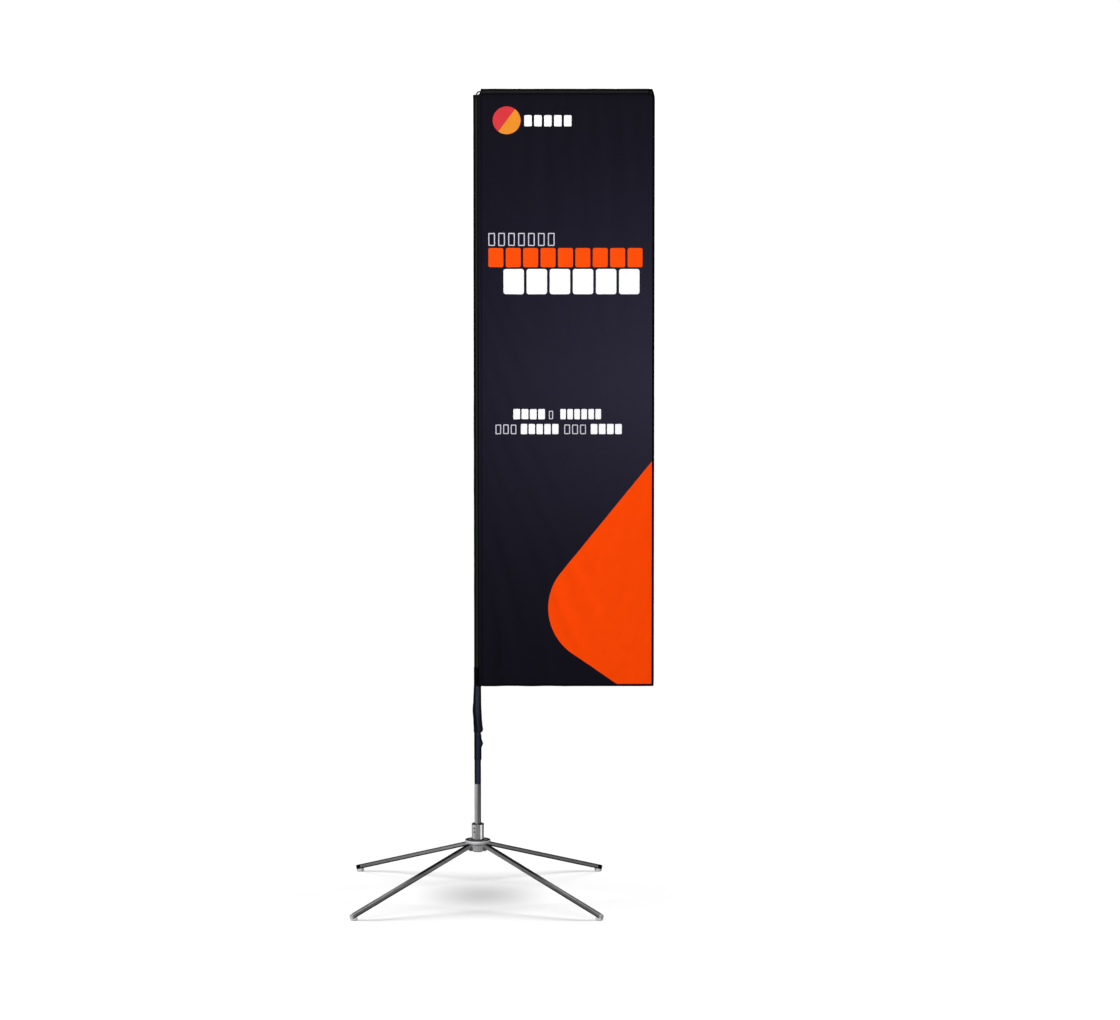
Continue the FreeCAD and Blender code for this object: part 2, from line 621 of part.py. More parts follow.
def arm_cap():
    """Rubber cap on the arm's free end, rounded so that it doesn't cut the cloth."""
    start = ARM_END + ARM_CAP_END - ARM_CAP_LENGTH
    body = rod_x(ARM_RADIUS + ARM_CAP_WALL, start, ARM_END + ARM_CAP_END, ARM_Z)
    end_edge = [e for e in body.Edges if e.CenterOfMass.x > ARM_END and len(e.Vertexes) == 1]
    body = body.makeFillet(ARM_CAP_END * 0.8, end_edge)
    return body.cut(rod_x(ARM_RADIUS + FIT_CLEARANCE, start - 1, ARM_END + FIT_CLEARANCE, ARM_Z))


def make_mast():
    export("pole_foot", tube(POLE_RADIUS, POLE_INNER, POLE_SEAT, FOOT_TOP))
    export("foot_ferrule", ferrule(FOOT_TOP))
    export("base_section", tube(POLE_RADIUS, POLE_INNER, FOOT_TOP, BASE_TOP))
    export("mid_ferrule", ferrule(BASE_TOP))
    export("top_section", tube(POLE_RADIUS, POLE_INNER, BASE_TOP, MAST_TOP))
    export("top_plug", top_plug())
    export("corner_wire", corner_wire())
    export("arm_ferrule", arm_ferrule())
    export("arm_rod", arm_rod())
    export("arm_cap", arm_cap())


# ---------------------------------------------------------------- cloth


def flag_outline(half_depth):
    """Everything inside the flag's edge: a deep plate with its two free corners rounded."""
    low, high, edge = FLAG_BOTTOM, FLAG_TOP, FREE_EDGE
    radius = LOWER_CORNER_RADIUS
    rise = math.sin(math.pi / 4)
    lower_middle = V(edge - radius * (1 - rise), 0, low + radius * (1 - rise))
    upper_start = V(edge, 0, high - CORNER_DROP)
    upper_middle = V(edge - CORNER_WIDTH * 0.4, 0, high - CORNER_DROP * 0.32)
    upper_end = V(edge - CORNER_WIDTH, 0, high)
    wire = Part.Wire(
        [
            Part.LineSegment(V(0, 0, low), V(edge - radius, 0, low)).toShape(),
            Part.Arc(V(edge - radius, 0, low), lower_middle, V(edge, 0, low + radius)).toShape(),
            Part.LineSegment(V(edge, 0, low + radius), upper_start).toShape(),
            Part.Arc(upper_start, upper_middle, upper_end).toShape(),
            Part.LineSegment(upper_end, V(0, 0, high)).toShape(),
            Part.LineSegment(V(0, 0, high), V(0, 0, low)).toShape(),
        ]
    )
    outline = Part.Face(wire).extrude(V(0, 2 * half_depth, 0))
    outline.translate(V(0, -half_depth, 0))
    return outline


def flag_panel():
    """The printed panel between the sleeves and the binding."""
    half = CLOTH / 2
    return block(PANEL_LEFT, FREE_EDGE - BINDING_WIDTH, -half, half, FLAG_BOTTOM + BINDING_WIDTH, PANEL_TOP)


def edge_binding():
    """Black tape folded over the free edge and the lower edge."""
    half = BINDING_THICKNESS / 2
    side = block(FREE_EDGE - BINDING_WIDTH, FREE_EDGE, -half, half, FLAG_BOTTOM, PANEL_TOP)
    lower = block(PANEL_LEFT, FREE_EDGE, -half, half, FLAG_BOTTOM, FLAG_BOTTOM + BINDING_WIDTH)
    return side.fuse(lower).removeSplitter().common(flag_outline(10))


def arm_sleeve():
    """Flattened tube of cloth round the arm."""

    def oval(height, depth):
        curve = Part.Ellipse(V(0, 0, 0), height / 2, depth / 2)
        face = Part.Face(Part.Wire(curve.toShape()))
        solid = face.extrude(V(0, 0, ARM_SLEEVE_END - ARM_SLEEVE_START))
        solid.rotate(V(0, 0, 0), V(0, 1, 0), 90)
        solid.translate(V(ARM_SLEEVE_START, 0, ARM_Z))
        return solid

    inner = oval(ARM_SLEEVE_HEIGHT - 2 * CLOTH, ARM_SLEEVE_DEPTH - 2 * CLOTH)
    return oval(ARM_SLEEVE_HEIGHT, ARM_SLEEVE_DEPTH).cut(inner)


def rivet_place():
    return ARM_SLEEVE_END + SEAM_GAP + RIVET_INSET, ARM_Z - RIVET_BELOW_ARM


def corner_patch():
    """Webbing patch that closes the end of the arm's sleeve, with a rivet hole."""
    half = CORNER_PATCH_THICKNESS / 2
    body = block(ARM_SLEEVE_END + SEAM_GAP, FREE_EDGE, -half, half, PANEL_TOP + SEAM_GAP, FLAG_TOP)
    x, z = rivet_place()
    hole = Part.makeCylinder(RIVET_SHANK + FIT_CLEARANCE, 10, V(x, -5, z), V(0, 1, 0))
    return body.common(flag_outline(10)).cut(hole)


def corner_rivet():
    """Two-headed rivet through the corner patch."""
    x, z = rivet_place()
    half = CORNER_PATCH_THICKNESS / 2 + SEAM_GAP
    shank = Part.makeCylinder(RIVET_SHANK, 2 * half, V(x, -half, z), V(0, 1, 0))
    front = Part.makeCylinder(RIVET_RADIUS, RIVET_HEAD, V(x, -half - RIVET_HEAD, z), V(0, 1, 0))
    back = Part.makeCylinder(RIVET_RADIUS, RIVET_HEAD, V(x, half, z), V(0, 1, 0))
    face_edges = [e for e in front.Edges if e.CenterOfMass.y < -half - RIVET_HEAD + 0.1]
    front = front.makeFillet(RIVET_ROUND, face_edges)
    back = back.makeFillet(RIVET_ROUND, [e for e in back.Edges if e.CenterOfMass.y > half + RIVET_HEAD - 0.1])
    return shank.fuse([front, back]).removeSplitter()


def sleeve_patch():
    """Doubled cloth round the outside of the pole sleeve's lower end."""
    low = FLAG_BOTTOM
    inner = SLEEVE_OUTER + SEAM_GAP
    ring = tube(inner + PATCH_THICKNESS, inner, low, low + PATCH_HEIGHT)
    return ring.cut(block(PANEL_LEFT - 3, 2 * inner, -2 * inner, 2 * inner, low - 1, low + PATCH_HEIGHT + 1))


def sleeve_tail():
    """Loose end of the pole sleeve below the flag, flaring towards its hem."""
    top_radius = POLE_RADIUS + TAIL_TOP_OFF_POLE
    bulge_radius = POLE_RADIUS + TAIL_BULGE_OFF_POLE
    end_radius = POLE_RADIUS + TAIL_END_OFF_POLE
    bulge = TAIL_TOP - TAIL_BULGE_DROP
    return turned(
        [
            (top_radius, TAIL_TOP),
            (bulge_radius, bulge),
            (end_radius, TAIL_END),
            (end_radius - CLOTH, TAIL_END),
            (bulge_radius - CLOTH, bulge),
            (top_radius - CLOTH, TAIL_TOP),
        ]
    )


def make_cloth():
    export("flag_panel", flag_panel())
    export("edge_binding", edge_binding())
    export("pole_sleeve", tube(SLEEVE_OUTER, SLEEVE_INNER, FLAG_BOTTOM, SLEEVE_TOP))
    export("arm_sleeve", arm_sleeve())
    export("corner_patch", corner_patch())
    export("corner_rivet", corner_rivet())
    export("sleeve_patch", sleeve_patch())
    export("sleeve_tail", sleeve_tail())


# ---------------------------------------------------------------- strap


def strap_wrap():
    """Two turns of strap round the pole."""
    return tube(STRAP_RADIUS, POLE_RADIUS + FIT_CLEARANCE, STRAP_TOP - STRAP_LENGTH, STRAP_TOP)


def strap_tab():
    """The strap's stem on the far side from the flag, up inside the tail to its seam."""
    inner = POLE_RADIUS + FIT_CLEARANCE
    high = TAIL_TOP - STRAP_SEAM_DROP
    ring = tube(inner + STRAP_TAB_THICKNESS, inner, STRAP_TOP, high)
    half = STRAP_TAB_WIDTH / 2
    return ring.common(block(-2 * inner, 0, -half, half, STRAP_TOP, high))


def strap_free_end():
    """The strap's free corner, standing off the wrap towards the flag's side."""
    root = STRAP_RADIUS - STRAP_THICKNESS / 2
    tip = STRAP_RADIUS + FREE_END_REACH
    tip_z = STRAP_TOP - FREE_END_DROP
    outline = [
        (root, tip_z + FREE_END_RISE),
        (root + FREE_END_REACH / 2, tip_z + FREE_END_RISE / 3),
        (tip, tip_z),
        (root, tip_z - FREE_END_FALL),
    ]
    return plate(outline, -FREE_END_THICKNESS / 2, FREE_END_THICKNESS / 2)


def make_strap():
    export("tension_strap", strap_wrap().fuse([strap_tab(), strap_free_end()]).removeSplitter())


os.makedirs("parts", exist_ok=True)
make_legs()
make_hub()
make_turntable()
make_mast()
make_cloth()
make_strap()
print(f"pivot {PIVOT_Z:.2f}, hub {HUB_BOTTOM:.2f} to {HUB_TOP:.2f}, socket top {SOCKET_TOP:.2f}")
print(f"flag {FLAG_BOTTOM:.2f} to {FLAG_TOP:.2f}, leg length {LEG_LENGTH:.2f}")
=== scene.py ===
"""Rectangular banner flag on a pole with a folding four-leg base: cloth, finishes, light and camera.

All lengths are in metres. X runs along the arm, the printed front faces -Y, Z is up, and the pole stands
on the Z axis.
"""

import math

import bpy
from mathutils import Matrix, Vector, noise


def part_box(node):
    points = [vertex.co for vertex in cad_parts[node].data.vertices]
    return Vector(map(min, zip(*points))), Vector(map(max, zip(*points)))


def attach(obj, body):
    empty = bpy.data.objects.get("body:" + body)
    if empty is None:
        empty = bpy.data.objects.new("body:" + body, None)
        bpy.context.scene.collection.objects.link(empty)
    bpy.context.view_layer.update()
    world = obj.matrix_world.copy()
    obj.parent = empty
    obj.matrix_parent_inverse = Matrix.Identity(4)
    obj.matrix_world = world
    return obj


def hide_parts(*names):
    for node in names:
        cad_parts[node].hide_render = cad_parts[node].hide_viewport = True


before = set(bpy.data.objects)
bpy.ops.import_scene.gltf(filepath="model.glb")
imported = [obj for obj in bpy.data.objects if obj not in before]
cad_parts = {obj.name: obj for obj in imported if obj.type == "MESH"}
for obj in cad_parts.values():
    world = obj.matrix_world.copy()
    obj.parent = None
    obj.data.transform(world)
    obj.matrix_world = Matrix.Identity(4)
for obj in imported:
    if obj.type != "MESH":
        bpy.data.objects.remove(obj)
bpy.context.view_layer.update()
MM = 0.001

# Levels and sizes that the cloth is cut to
POLE_RADIUS = 11.0 * MM
FLAG_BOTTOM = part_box("edge_binding")[0][2]
PANEL_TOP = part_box("flag_panel")[1][2]
FREE_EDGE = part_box("edge_binding")[1][0]
FLAG_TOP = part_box("arm_sleeve")[1][2]
SLEEVE_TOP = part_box("pole_sleeve")[1][2]
ARM_AXIS = 2703.07 * MM
SEAM_POINT = 16.8 * MM      # where the sleeve closes on the panel
SLEEVE_RADIUS = 11.4 * MM
HUB_AXIS = (0.0, 0.0, 1.0)
LEG_ANGLES = (45.0, 135.0, 225.0, 315.0)
LEG_SLOPE = 16.5
LEG_TIP = 563.0 * MM        # where the painted shade at a back leg's end begins


# ---------------------------------------------------------------- small helpers

def tone(red, green, blue, gain=1.0):
    """A display colour out of 255 as a linear colour with alpha."""
    out = []
    for part in (red, green, blue):
        part = part / 255.0
        value = part / 12.92 if part <= 0.04045 else ((part + 0.055) / 1.055) ** 2.4
        out.append(value * gain)
    return (out[0], out[1], out[2], 1.0)


def smooth(value, low, high):
    """0 below low, 1 above high, and an easy curve between."""
    part = min(1.0, max(0.0, (value - low) / (high - low)))
    return part * part * (3.0 - 2.0 * part)


def between(value, levels):
    """The smooth line through (place, size) levels that are in rising order."""
    if value <= levels[0][0]:
        return levels[0][1]
    for (low, first), (high, second) in zip(levels, levels[1:]):
        if value <= high:
            return first + (second - first) * smooth(value, low, high)
    return levels[-1][1]


# ---------------------------------------------------------------- material helpers

def node(tree, kind, **settings):
    item = tree.nodes.new("ShaderNode" + kind)
    for name, value in settings.items():
        setattr(item, name, value)
    return item


def feed(tree, socket, value):
    if isinstance(value, bpy.types.NodeSocket):
        tree.links.new(value, socket)
    else:
        socket.default_value = value


def calc(tree, operation, first, second=None, third=None, clamp=False):
    item = node(tree, "Math", operation=operation, use_clamp=clamp)
    for socket, value in zip(item.inputs, (first, second, third)):
        if value is not None:
            feed(tree, socket, value)
    return item.outputs[0]


def plus(tree, first, second):
    return calc(tree, "ADD", first, second)


def minus(tree, first, second):
    return calc(tree, "SUBTRACT", first, second)


def times(tree, first, second):
    return calc(tree, "MULTIPLY", first, second)


def most(tree, first, second):
    return calc(tree, "MAXIMUM", first, second)


def remap(tree, value, low, high, start=0.0, end=1.0, kind="SMOOTHSTEP"):
    item = node(tree, "MapRange", interpolation_type=kind)
    for socket, number in zip(item.inputs, (value, low, high, start, end)):
        feed(tree, socket, number)
    return item.outputs[0]


def mix(tree, factor, first, second):
    item = node(tree, "Mix", data_type="RGBA")
    feed(tree, item.inputs[0], factor)
    feed(tree, item.inputs[6], first)
    feed(tree, item.inputs[7], second)
    return item.outputs[2]


def place(tree):
    return node(tree, "TexCoord").outputs["Object"]


def split(tree, vector):
    item = node(tree, "SeparateXYZ")
    feed(tree, item.inputs[0], vector)
    return item.outputs[0], item.outputs[1], item.outputs[2]


def join(tree, x, y, z):
    item = node(tree, "CombineXYZ")
    for socket, value in zip(item.inputs, (x, y, z)):
        feed(tree, socket, value)
    return item.outputs[0]


def grey(tree, level):
    return join(tree, level, level, level)


def far_from(tree, x, y):
    """The distance of a place from the origin of two axes."""
    return calc(tree, "SQRT", calc(tree, "MULTIPLY_ADD", x, x, times(tree, y, y)))


def along(tree, vector, direction):
    """How far a place is along a direction."""
    item = node(tree, "VectorMath", operation="DOT_PRODUCT")
    feed(tree, item.inputs[0], vector)
    item.inputs[1].default_value = direction
    return item.outputs["Value"]


def grain(tree, vector, scale, detail=3.0, roughness=0.5):
    item = node(tree, "TexNoise")
    feed(tree, item.inputs["Vector"], vector)
    item.inputs["Scale"].default_value = scale
    item.inputs["Detail"].default_value = detail
    item.inputs["Roughness"].default_value = roughness
    return item.outputs[0]


def ramp(tree, value, stops, kind="B_SPLINE"):
    item = node(tree, "ValToRGB")
    item.color_ramp.interpolation = kind
    marks = item.color_ramp.elements
    while len(marks) < len(stops):
        marks.new(0.5)
    for mark, (position, colour) in zip(marks, stops):
        mark.position = position
        mark.color = colour
    feed(tree, item.inputs[0], value)
    return item.outputs[0]


def bumped(tree, height, distance, strength=1.0, below=None):
    item = node(tree, "Bump")
    item.inputs["Strength"].default_value = strength
    item.inputs["Distance"].default_value = distance
    feed(tree, item.inputs["Height"], height)
    if below is not None:
        tree.links.new(below, item.inputs["Normal"])
    return item.outputs[0]


def finish(name, **constants):
    """A material with its principled shader's constants set, its node tree and its shader."""
    item = bpy.data.materials.new(name)
    item.use_nodes = True
    shader = item.node_tree.nodes["Principled BSDF"]
    for socket, value in constants.items():
        shader.inputs[socket.replace("_", " ")].default_value = value
    return item, item.node_tree, shader


def coat(tree, shader, colour, roughness, normal):
    """Feeds the three sockets that vary over a piece."""
    feed(tree, shader.inputs["Base Color"], colour)
    feed(tree, shader.inputs["Roughness"], roughness)
    feed(tree, shader.inputs["Normal"], normal)


def shaded(colour, gain, lift=0.0):
    """A colour made darker or paler by a gain."""
    return tuple(min(1.0, part * gain + lift) for part in colour[:3]) + (1.0,)


def dress(material, *names):
    """Puts a material on CAD nodes."""
    for name in names:
        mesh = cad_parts[name].data
        mesh.materials.clear()
        mesh.materials.append(material)


# ---------------------------------------------------------------- metal, plastic and composite finishes

def facing(tree):
    """The three parts of the piece's own normal."""
    return split(tree, node(tree, "TexCoord").outputs["Normal"])


def turned_metal(name, colour, roughness, top_shade=None, metallic=1.0):
    """Lathe-turned metal: fine rings round the Z axis and a little handling dullness.

    A top_shade (inner radius, outer radius, face colour, ring colour) paints shade on the upper face: the
    face colour inside the inner radius, a darker painted ring out to the outer radius, and no metal sheen
    there.
    """
    item, tree, shader = finish(name, Metallic=metallic)
    spot = place(tree)
    x, y, z = split(tree, spot)
    radius = far_from(tree, x, y)
    rings = grain(tree, join(tree, radius, 0.0, z), 2600.0, 2.0)
    cloud = grain(tree, spot, 38.0, 4.0, 0.6)
    gloss = remap(tree, cloud, 0.3, 0.7, roughness - 0.05, roughness + 0.09)
    tint = mix(tree, remap(tree, cloud, 0.35, 0.75), colour, shaded(colour, 0.86))
    # painted shade: the upper face is painted dark grey, with a near-black ring
    if top_shade:
        inner, outer, face, ring = top_shade
        above = remap(tree, facing(tree)[2], 0.6, 0.9)
        inside = mix(tree, remap(tree, radius, inner, inner + 1.5 * MM), face, ring)
        inside = mix(tree, remap(tree, radius, outer - 0.5 * MM, outer), inside, colour)
        tint = mix(tree, above, tint, inside)
        feed(tree, shader.inputs["Metallic"], remap(tree, above, 0.0, 1.0, metallic, 0.0, "LINEAR"))
        shader.inputs["Specular IOR Level"].default_value = 0.05
    coat(tree, shader, tint, gloss, bumped(tree, rings, 0.02 * MM, 0.5))
    return item


def painted_leg_shade(tree, spot, angle, tube):
    """Painted shade along a leg: dark lines that stand in for its shade.

    A back leg is painted dark below, along its upper edge and at its tip. A front leg is painted dark below,
    more so outwards, and on its upper face near the hub.
    """
    turn, slope = math.radians(angle), math.radians(LEG_SLOPE)
    upright = Vector((math.cos(turn) * math.sin(slope), math.sin(turn) * math.sin(slope), math.cos(slope)))
    low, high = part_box(tube)
    middle = (Vector(low) + Vector(high)).dot(upright) / 2.0
    rise = minus(tree, along(tree, spot, upright), middle)
    outward = along(tree, spot, (math.cos(turn), math.sin(turn), 0.0))
    if math.sin(turn) > 0.0:
        under = remap(tree, rise, -1.6 * MM, -4.0 * MM)
        over = remap(tree, rise, 3.0 * MM, 5.0 * MM, 0.0, 0.9)
        tip = remap(tree, outward, LEG_TIP, LEG_TIP + 3.0 * MM)
        return most(tree, tip, most(tree, under, over))
    under = times(tree, remap(tree, rise, -0.3 * MM, -2.4 * MM), remap(tree, outward, 0.1, 0.36, 0.3, 1.0))
    over = times(tree, remap(tree, rise, 6.2 * MM, 7.0 * MM), remap(tree, outward, 0.25, 0.5, 1.0, 0.0))
    return most(tree, under, over)


def drawn_metal(name, colour, roughness, direction, leg=None, right_side_shade=0.0, foot_shade_height=0.0):
    """Drawn tube: fine lines along its length. A leg (angle, node) gets painted shade along its edges.

    An upright tube given a right_side_shade is painted darker on its right side, a painted shade, and one
    given a foot_shade_height is painted dark below that height, a painted shade at its foot.
    """
    item, tree, shader = finish(name, Metallic=1.0)
    spot = place(tree)
    run = Vector(direction).normalized()
    side = run.orthogonal().normalized()
    third = run.cross(side)
    stretched = times(tree, along(tree, spot, run), 0.012)
    line = join(tree, stretched, along(tree, spot, side), along(tree, spot, third))
    scratches = grain(tree, line, 2400.0, 3.0, 0.6)
    cloud = grain(tree, spot, 26.0, 4.0, 0.6)
    gloss = remap(tree, scratches, 0.25, 0.75, roughness - 0.05, roughness + 0.08)
    tint = mix(tree, remap(tree, cloud, 0.35, 0.75), colour, shaded(colour, 0.84))
    # painted shade: the tube is painted darker on its right side
    if right_side_shade:
        tint = mix(tree, remap(tree, facing(tree)[0], -0.6, 0.6), tint, shaded(colour, 1.0 - right_side_shade))
    # painted shade: the tube is painted dark, with little metal sheen, below the given height at its foot
    if foot_shade_height:
        foot_shade = remap(tree, split(tree, spot)[2], foot_shade_height - 0.5 * MM, foot_shade_height + 0.5 * MM, 1.0, 0.0)
        tint = mix(tree, foot_shade, tint, tone(48, 48, 50))
        feed(tree, shader.inputs["Metallic"], remap(tree, foot_shade, 0.0, 1.0, 1.0, 0.1, "LINEAR"))
        shader.inputs["Specular IOR Level"].default_value = 0.1
    # painted shade: dark lines along the leg's edges, without metal sheen
    if leg:
        lines = painted_leg_shade(tree, spot, *leg)
        tint = mix(tree, lines, tint, tone(14, 14, 15))
        feed(tree, shader.inputs["Metallic"], remap(tree, lines, 0.0, 1.0, 1.0, 0.0, "LINEAR"))
        shader.inputs["Specular IOR Level"].default_value = 0.05
    coat(tree, shader, tint, gloss, bumped(tree, scratches, 0.02 * MM, 0.4))
    return item


def moulded(name, colour, roughness, pebble=900.0, depth=0.05 * MM, **constants):
    """Moulded plastic or rubber with a fine pebbled skin."""
    item, tree, shader = finish(name, **constants)
    spot = place(tree)
    skin = grain(tree, spot, pebble, 3.0)
    cloud = grain(tree, spot, 55.0, 3.0, 0.6)
    tint = mix(tree, remap(tree, cloud, 0.35, 0.7), colour, shaded(colour, 1.25, 0.002))
    gloss = remap(tree, cloud, 0.3, 0.7, roughness - 0.06, roughness + 0.08)
    coat(tree, shader, tint, gloss, bumped(tree, skin, depth, 0.6))
    return item


def round_shade(tree):
    """How far a round piece has turned away to either side: the mask for its painted side shade."""
    side = facing(tree)[0]
    left = remap(tree, side, -0.15, -0.6)
    right = remap(tree, side, 0.42, 0.8)
    return most(tree, left, right)


def wound_composite(name, colour):
    """Glossy wound composite pole: faint diagonal fibre bands under a clear coat, and painted shade where it
    turns away.
    """
    item, tree, shader = finish(name, Coat_Weight=0.02, Coat_Roughness=0.2, Specular_IOR_Level=0.12)
    spot = place(tree)
    x, y, z = split(tree, spot)
    turn = calc(tree, "ARCTAN2", y, x)
    winding = calc(tree, "SINE", plus(tree, times(tree, turn, 3.0), times(tree, z, 220.0)))
    fibre = grain(tree, join(tree, times(tree, turn, 0.02), winding, times(tree, z, 0.6)), 60.0)
    tint = mix(tree, remap(tree, fibre, 0.35, 0.75), colour, shaded(colour, 1.5, 0.002))
    # painted shade: near black where the pole turns away to either side
    tint = mix(tree, round_shade(tree), tint, tone(3, 4, 6))
    coat(tree, shader, tint, remap(tree, fibre, 0.3, 0.7, 0.28, 0.38), bumped(tree, fibre, 0.02 * MM, 0.4))
    return item


STEEL = tone(205, 205, 207)
BRIGHT_STEEL = tone(232, 232, 234)
ANODISED = tone(214, 215, 218)
BLACK = tone(18, 18, 20)
NAVY = tone(40, 47, 66)
PALE_PAD = tone(226, 227, 224)
NYLON = tone(222, 222, 215)
# height of the painted shade at the socket tube's foot
FOOT_SHADE_HEIGHT = 3.2 * MM
TOP_SHADE_RING = (31.0 * MM, 42.6 * MM)     # inner and outer radius of the painted shade ring on the plate's top


def leg_direction(angle):
    turn = math.radians(angle)
    slope = math.radians(LEG_SLOPE)
    return (math.cos(turn) * math.cos(slope), math.sin(turn) * math.cos(slope), -math.sin(slope))


def dress_frame():
    dress(turned_metal("turned_steel", tone(226, 226, 228), 0.42, metallic=0.5), "hub_body")
    # painted shade on the plate's upper face: dark grey near the socket, near black in the ring
    top_shade = (*TOP_SHADE_RING, tone(84, 84, 86), tone(30, 30, 32))
    plate = turned_metal("turned_plate", tone(248, 248, 248), 0.5, top_shade=top_shade, metallic=0.3)
    dress(plate, "turntable_plate")
    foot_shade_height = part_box("socket_tube")[0][2] + FOOT_SHADE_HEIGHT
    polished = drawn_metal("polished_tube", BRIGHT_STEEL, 0.13, HUB_AXIS, foot_shade_height=foot_shade_height)
    dress(polished, "socket_tube", "spindle_tube")
    zinc = turned_metal("zinc_plate", tone(190, 194, 200), 0.33)
    dress(zinc, "leg_pivot_pins", "socket_floor", "retaining_washer")
    dress(turned_metal("blackened_brass", tone(40, 40, 43), 0.5), "corner_rivet")
    dark_steel = moulded("black_steel", tone(24, 24, 26), 0.38, 1400.0, 0.02 * MM, Metallic=0.6)
    dress(dark_steel, "set_screw_upper", "set_screw_lower", "retaining_ring")
    natural = moulded("natural_nylon", NYLON, 0.42)
    dress(natural, "upper_bush", "lower_bush", "thrust_washer")
    dress(moulded("black_nylon", tone(26, 26, 28), 0.45), "reducer_bushing")
    # the pole foot and ferrules get painted shade on their right side
    anodised = drawn_metal("anodised_tube", ANODISED, 0.3, HUB_AXIS, right_side_shade=0.6)
    dress(anodised, "pole_foot", "foot_ferrule", "mid_ferrule")
    dress(drawn_metal("arm_tube", ANODISED, 0.3, (1.0, 0.0, 0.0)), "arm_ferrule")
    dress(wound_composite("navy_composite", NAVY), "base_section", "top_section")
    dress(wound_composite("black_composite", BLACK), "arm_rod")
    black_coat = moulded("black_coat", tone(6, 6, 7), 0.6, 1500.0, 0.02 * MM, Specular_IOR_Level=0.25)
    dress(black_coat, "corner_wire")
    dress(moulded("black_plastic", BLACK, 0.46), "top_plug")
    dress(moulded("black_rubber", tone(22, 22, 23), 0.7), "arm_cap")
    # one end plug in two painted copies: black, a painted shade, for the back legs and pale, a painted light,
    # for the front legs
    shaded_end = moulded("end_plug_black", tone(3, 3, 3), 0.7, Specular_IOR_Level=0.1)
    lit_end = moulded("end_plug_pale", tone(176, 176, 174), 0.5)
    pad = moulded("foot_pad", PALE_PAD, 0.35, 900.0, 0.03 * MM)
    for number, angle in enumerate(LEG_ANGLES, 1):
        body = "leg_tube_%d" % number
        steel = drawn_metal("leg_steel_%d" % number, STEEL, 0.3, leg_direction(angle), (angle, body))
        dress(steel, body)
        dress(natural, "heel_plug_%d" % number)
        # back legs get the painted-shade copy of the end plug, front legs the painted-light copy
        dress(shaded_end if math.sin(math.radians(angle)) > 0.0 else lit_end, "end_plug_%d" % number)
        dress(pad, "foot_%d" % number)


# ---------------------------------------------------------------- camera, light and floor

CAMERA_LENS = 244.6
CAMERA_SPOT = Vector((0.275, -25.0, 5.204))
CAMERA_AIM = Vector((0.275, 0.0, 1.307))
FLOOR_LIFT = 0.1            # glow of the floor where no light falls on it
SIDE_SUN_HEIGHT = 9.5       # degrees above the floor
SIDE_SUN_ANGLE = 18.0       # how wide each low sun is, in degrees
SIDE_SUN = 8.7
UPPER_SUN = 0.05
HUB_SHADE = 0.42
HUB_SHADE_SPOT = 12.0 * MM
HUB_SHADE_SIZE = (0.29, 0.38)


def linked(name, data):
    """A new object in the scene for a mesh, a lamp or a camera."""
    item = bpy.data.objects.new(name, data)
    bpy.context.scene.collection.objects.link(item)
    return item


def aimed(direction):
    """The turn that points a lamp or a camera along a direction."""
    return Vector(direction).to_track_quat("-Z", "Y").to_euler()


def set_camera():
    lens = bpy.data.cameras.new("camera")
    lens.lens = CAMERA_LENS
    lens.sensor_width = 36.0
    lens.clip_end = 200.0
    view = linked("camera", lens)
    view.location = CAMERA_SPOT
    view.rotation_euler = aimed(CAMERA_AIM - CAMERA_SPOT)
    bpy.context.scene.camera = view


def panel_light(name, position, target, width, height, power, glossy=True):
    lamp = bpy.data.lights.new(name, "AREA")
    lamp.shape = "RECTANGLE"
    lamp.size = width
    lamp.size_y = height
    lamp.energy = power
    item = linked(name, lamp)
    item.location = position
    item.rotation_euler = aimed(Vector(target) - Vector(position))
    item.visible_camera = False
    item.visible_glossy = glossy
    return item


def lights_only(lamp, items, shown):
    """Limits which things a lamp lights: the given ones, or all but them."""
    group = bpy.data.collections.new(lamp.name + "_lit")
    for item in items:
        group.objects.link(item)
    for member in group.collection_objects:
        member.light_linking.link_state = "INCLUDE" if shown else "EXCLUDE"
    lamp.light_linking.receiver_collection = group


def casts_only(lamp, items):
    """Limits which things throw a lamp's shadow."""
    group = bpy.data.collections.new(lamp.name + "_shade")
    for item in items:
        group.objects.link(item)
    lamp.light_linking.blocker_collection = group


def floor_sun(name, floor, toward, angle, energy, numbers):
    """A soft sun that lights only the floor, shaded only by the given legs and their feet."""
    lamp = bpy.data.lights.new(name, "SUN")
    lamp.angle = math.radians(angle)
    lamp.energy = energy
    item = linked(name, lamp)
    item.rotation_euler = aimed(toward)
    lights_only(item, [floor], True)
    kinds = ("foot_%d", "end_plug_%d", "leg_tube_%d")
    casts_only(item, [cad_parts[kind % number] for kind in kinds for number in numbers])


def floor_lights(floor):
    """Low lights from each side draw the feet's shades inwards; one from above fills the floor."""
    low = math.radians(SIDE_SUN_HEIGHT)
    across, down = math.cos(low), -math.sin(low)
    floor_sun("left_floor_sun", floor, (across, 0.0, down), SIDE_SUN_ANGLE, SIDE_SUN, (2, 3))
    floor_sun("right_floor_sun", floor, (-across, 0.0, down), SIDE_SUN_ANGLE, SIDE_SUN, (1, 4))
    floor_sun("upper_floor_sun", floor, (0.0, 0.0, -1.0), 60.0, UPPER_SUN, ())


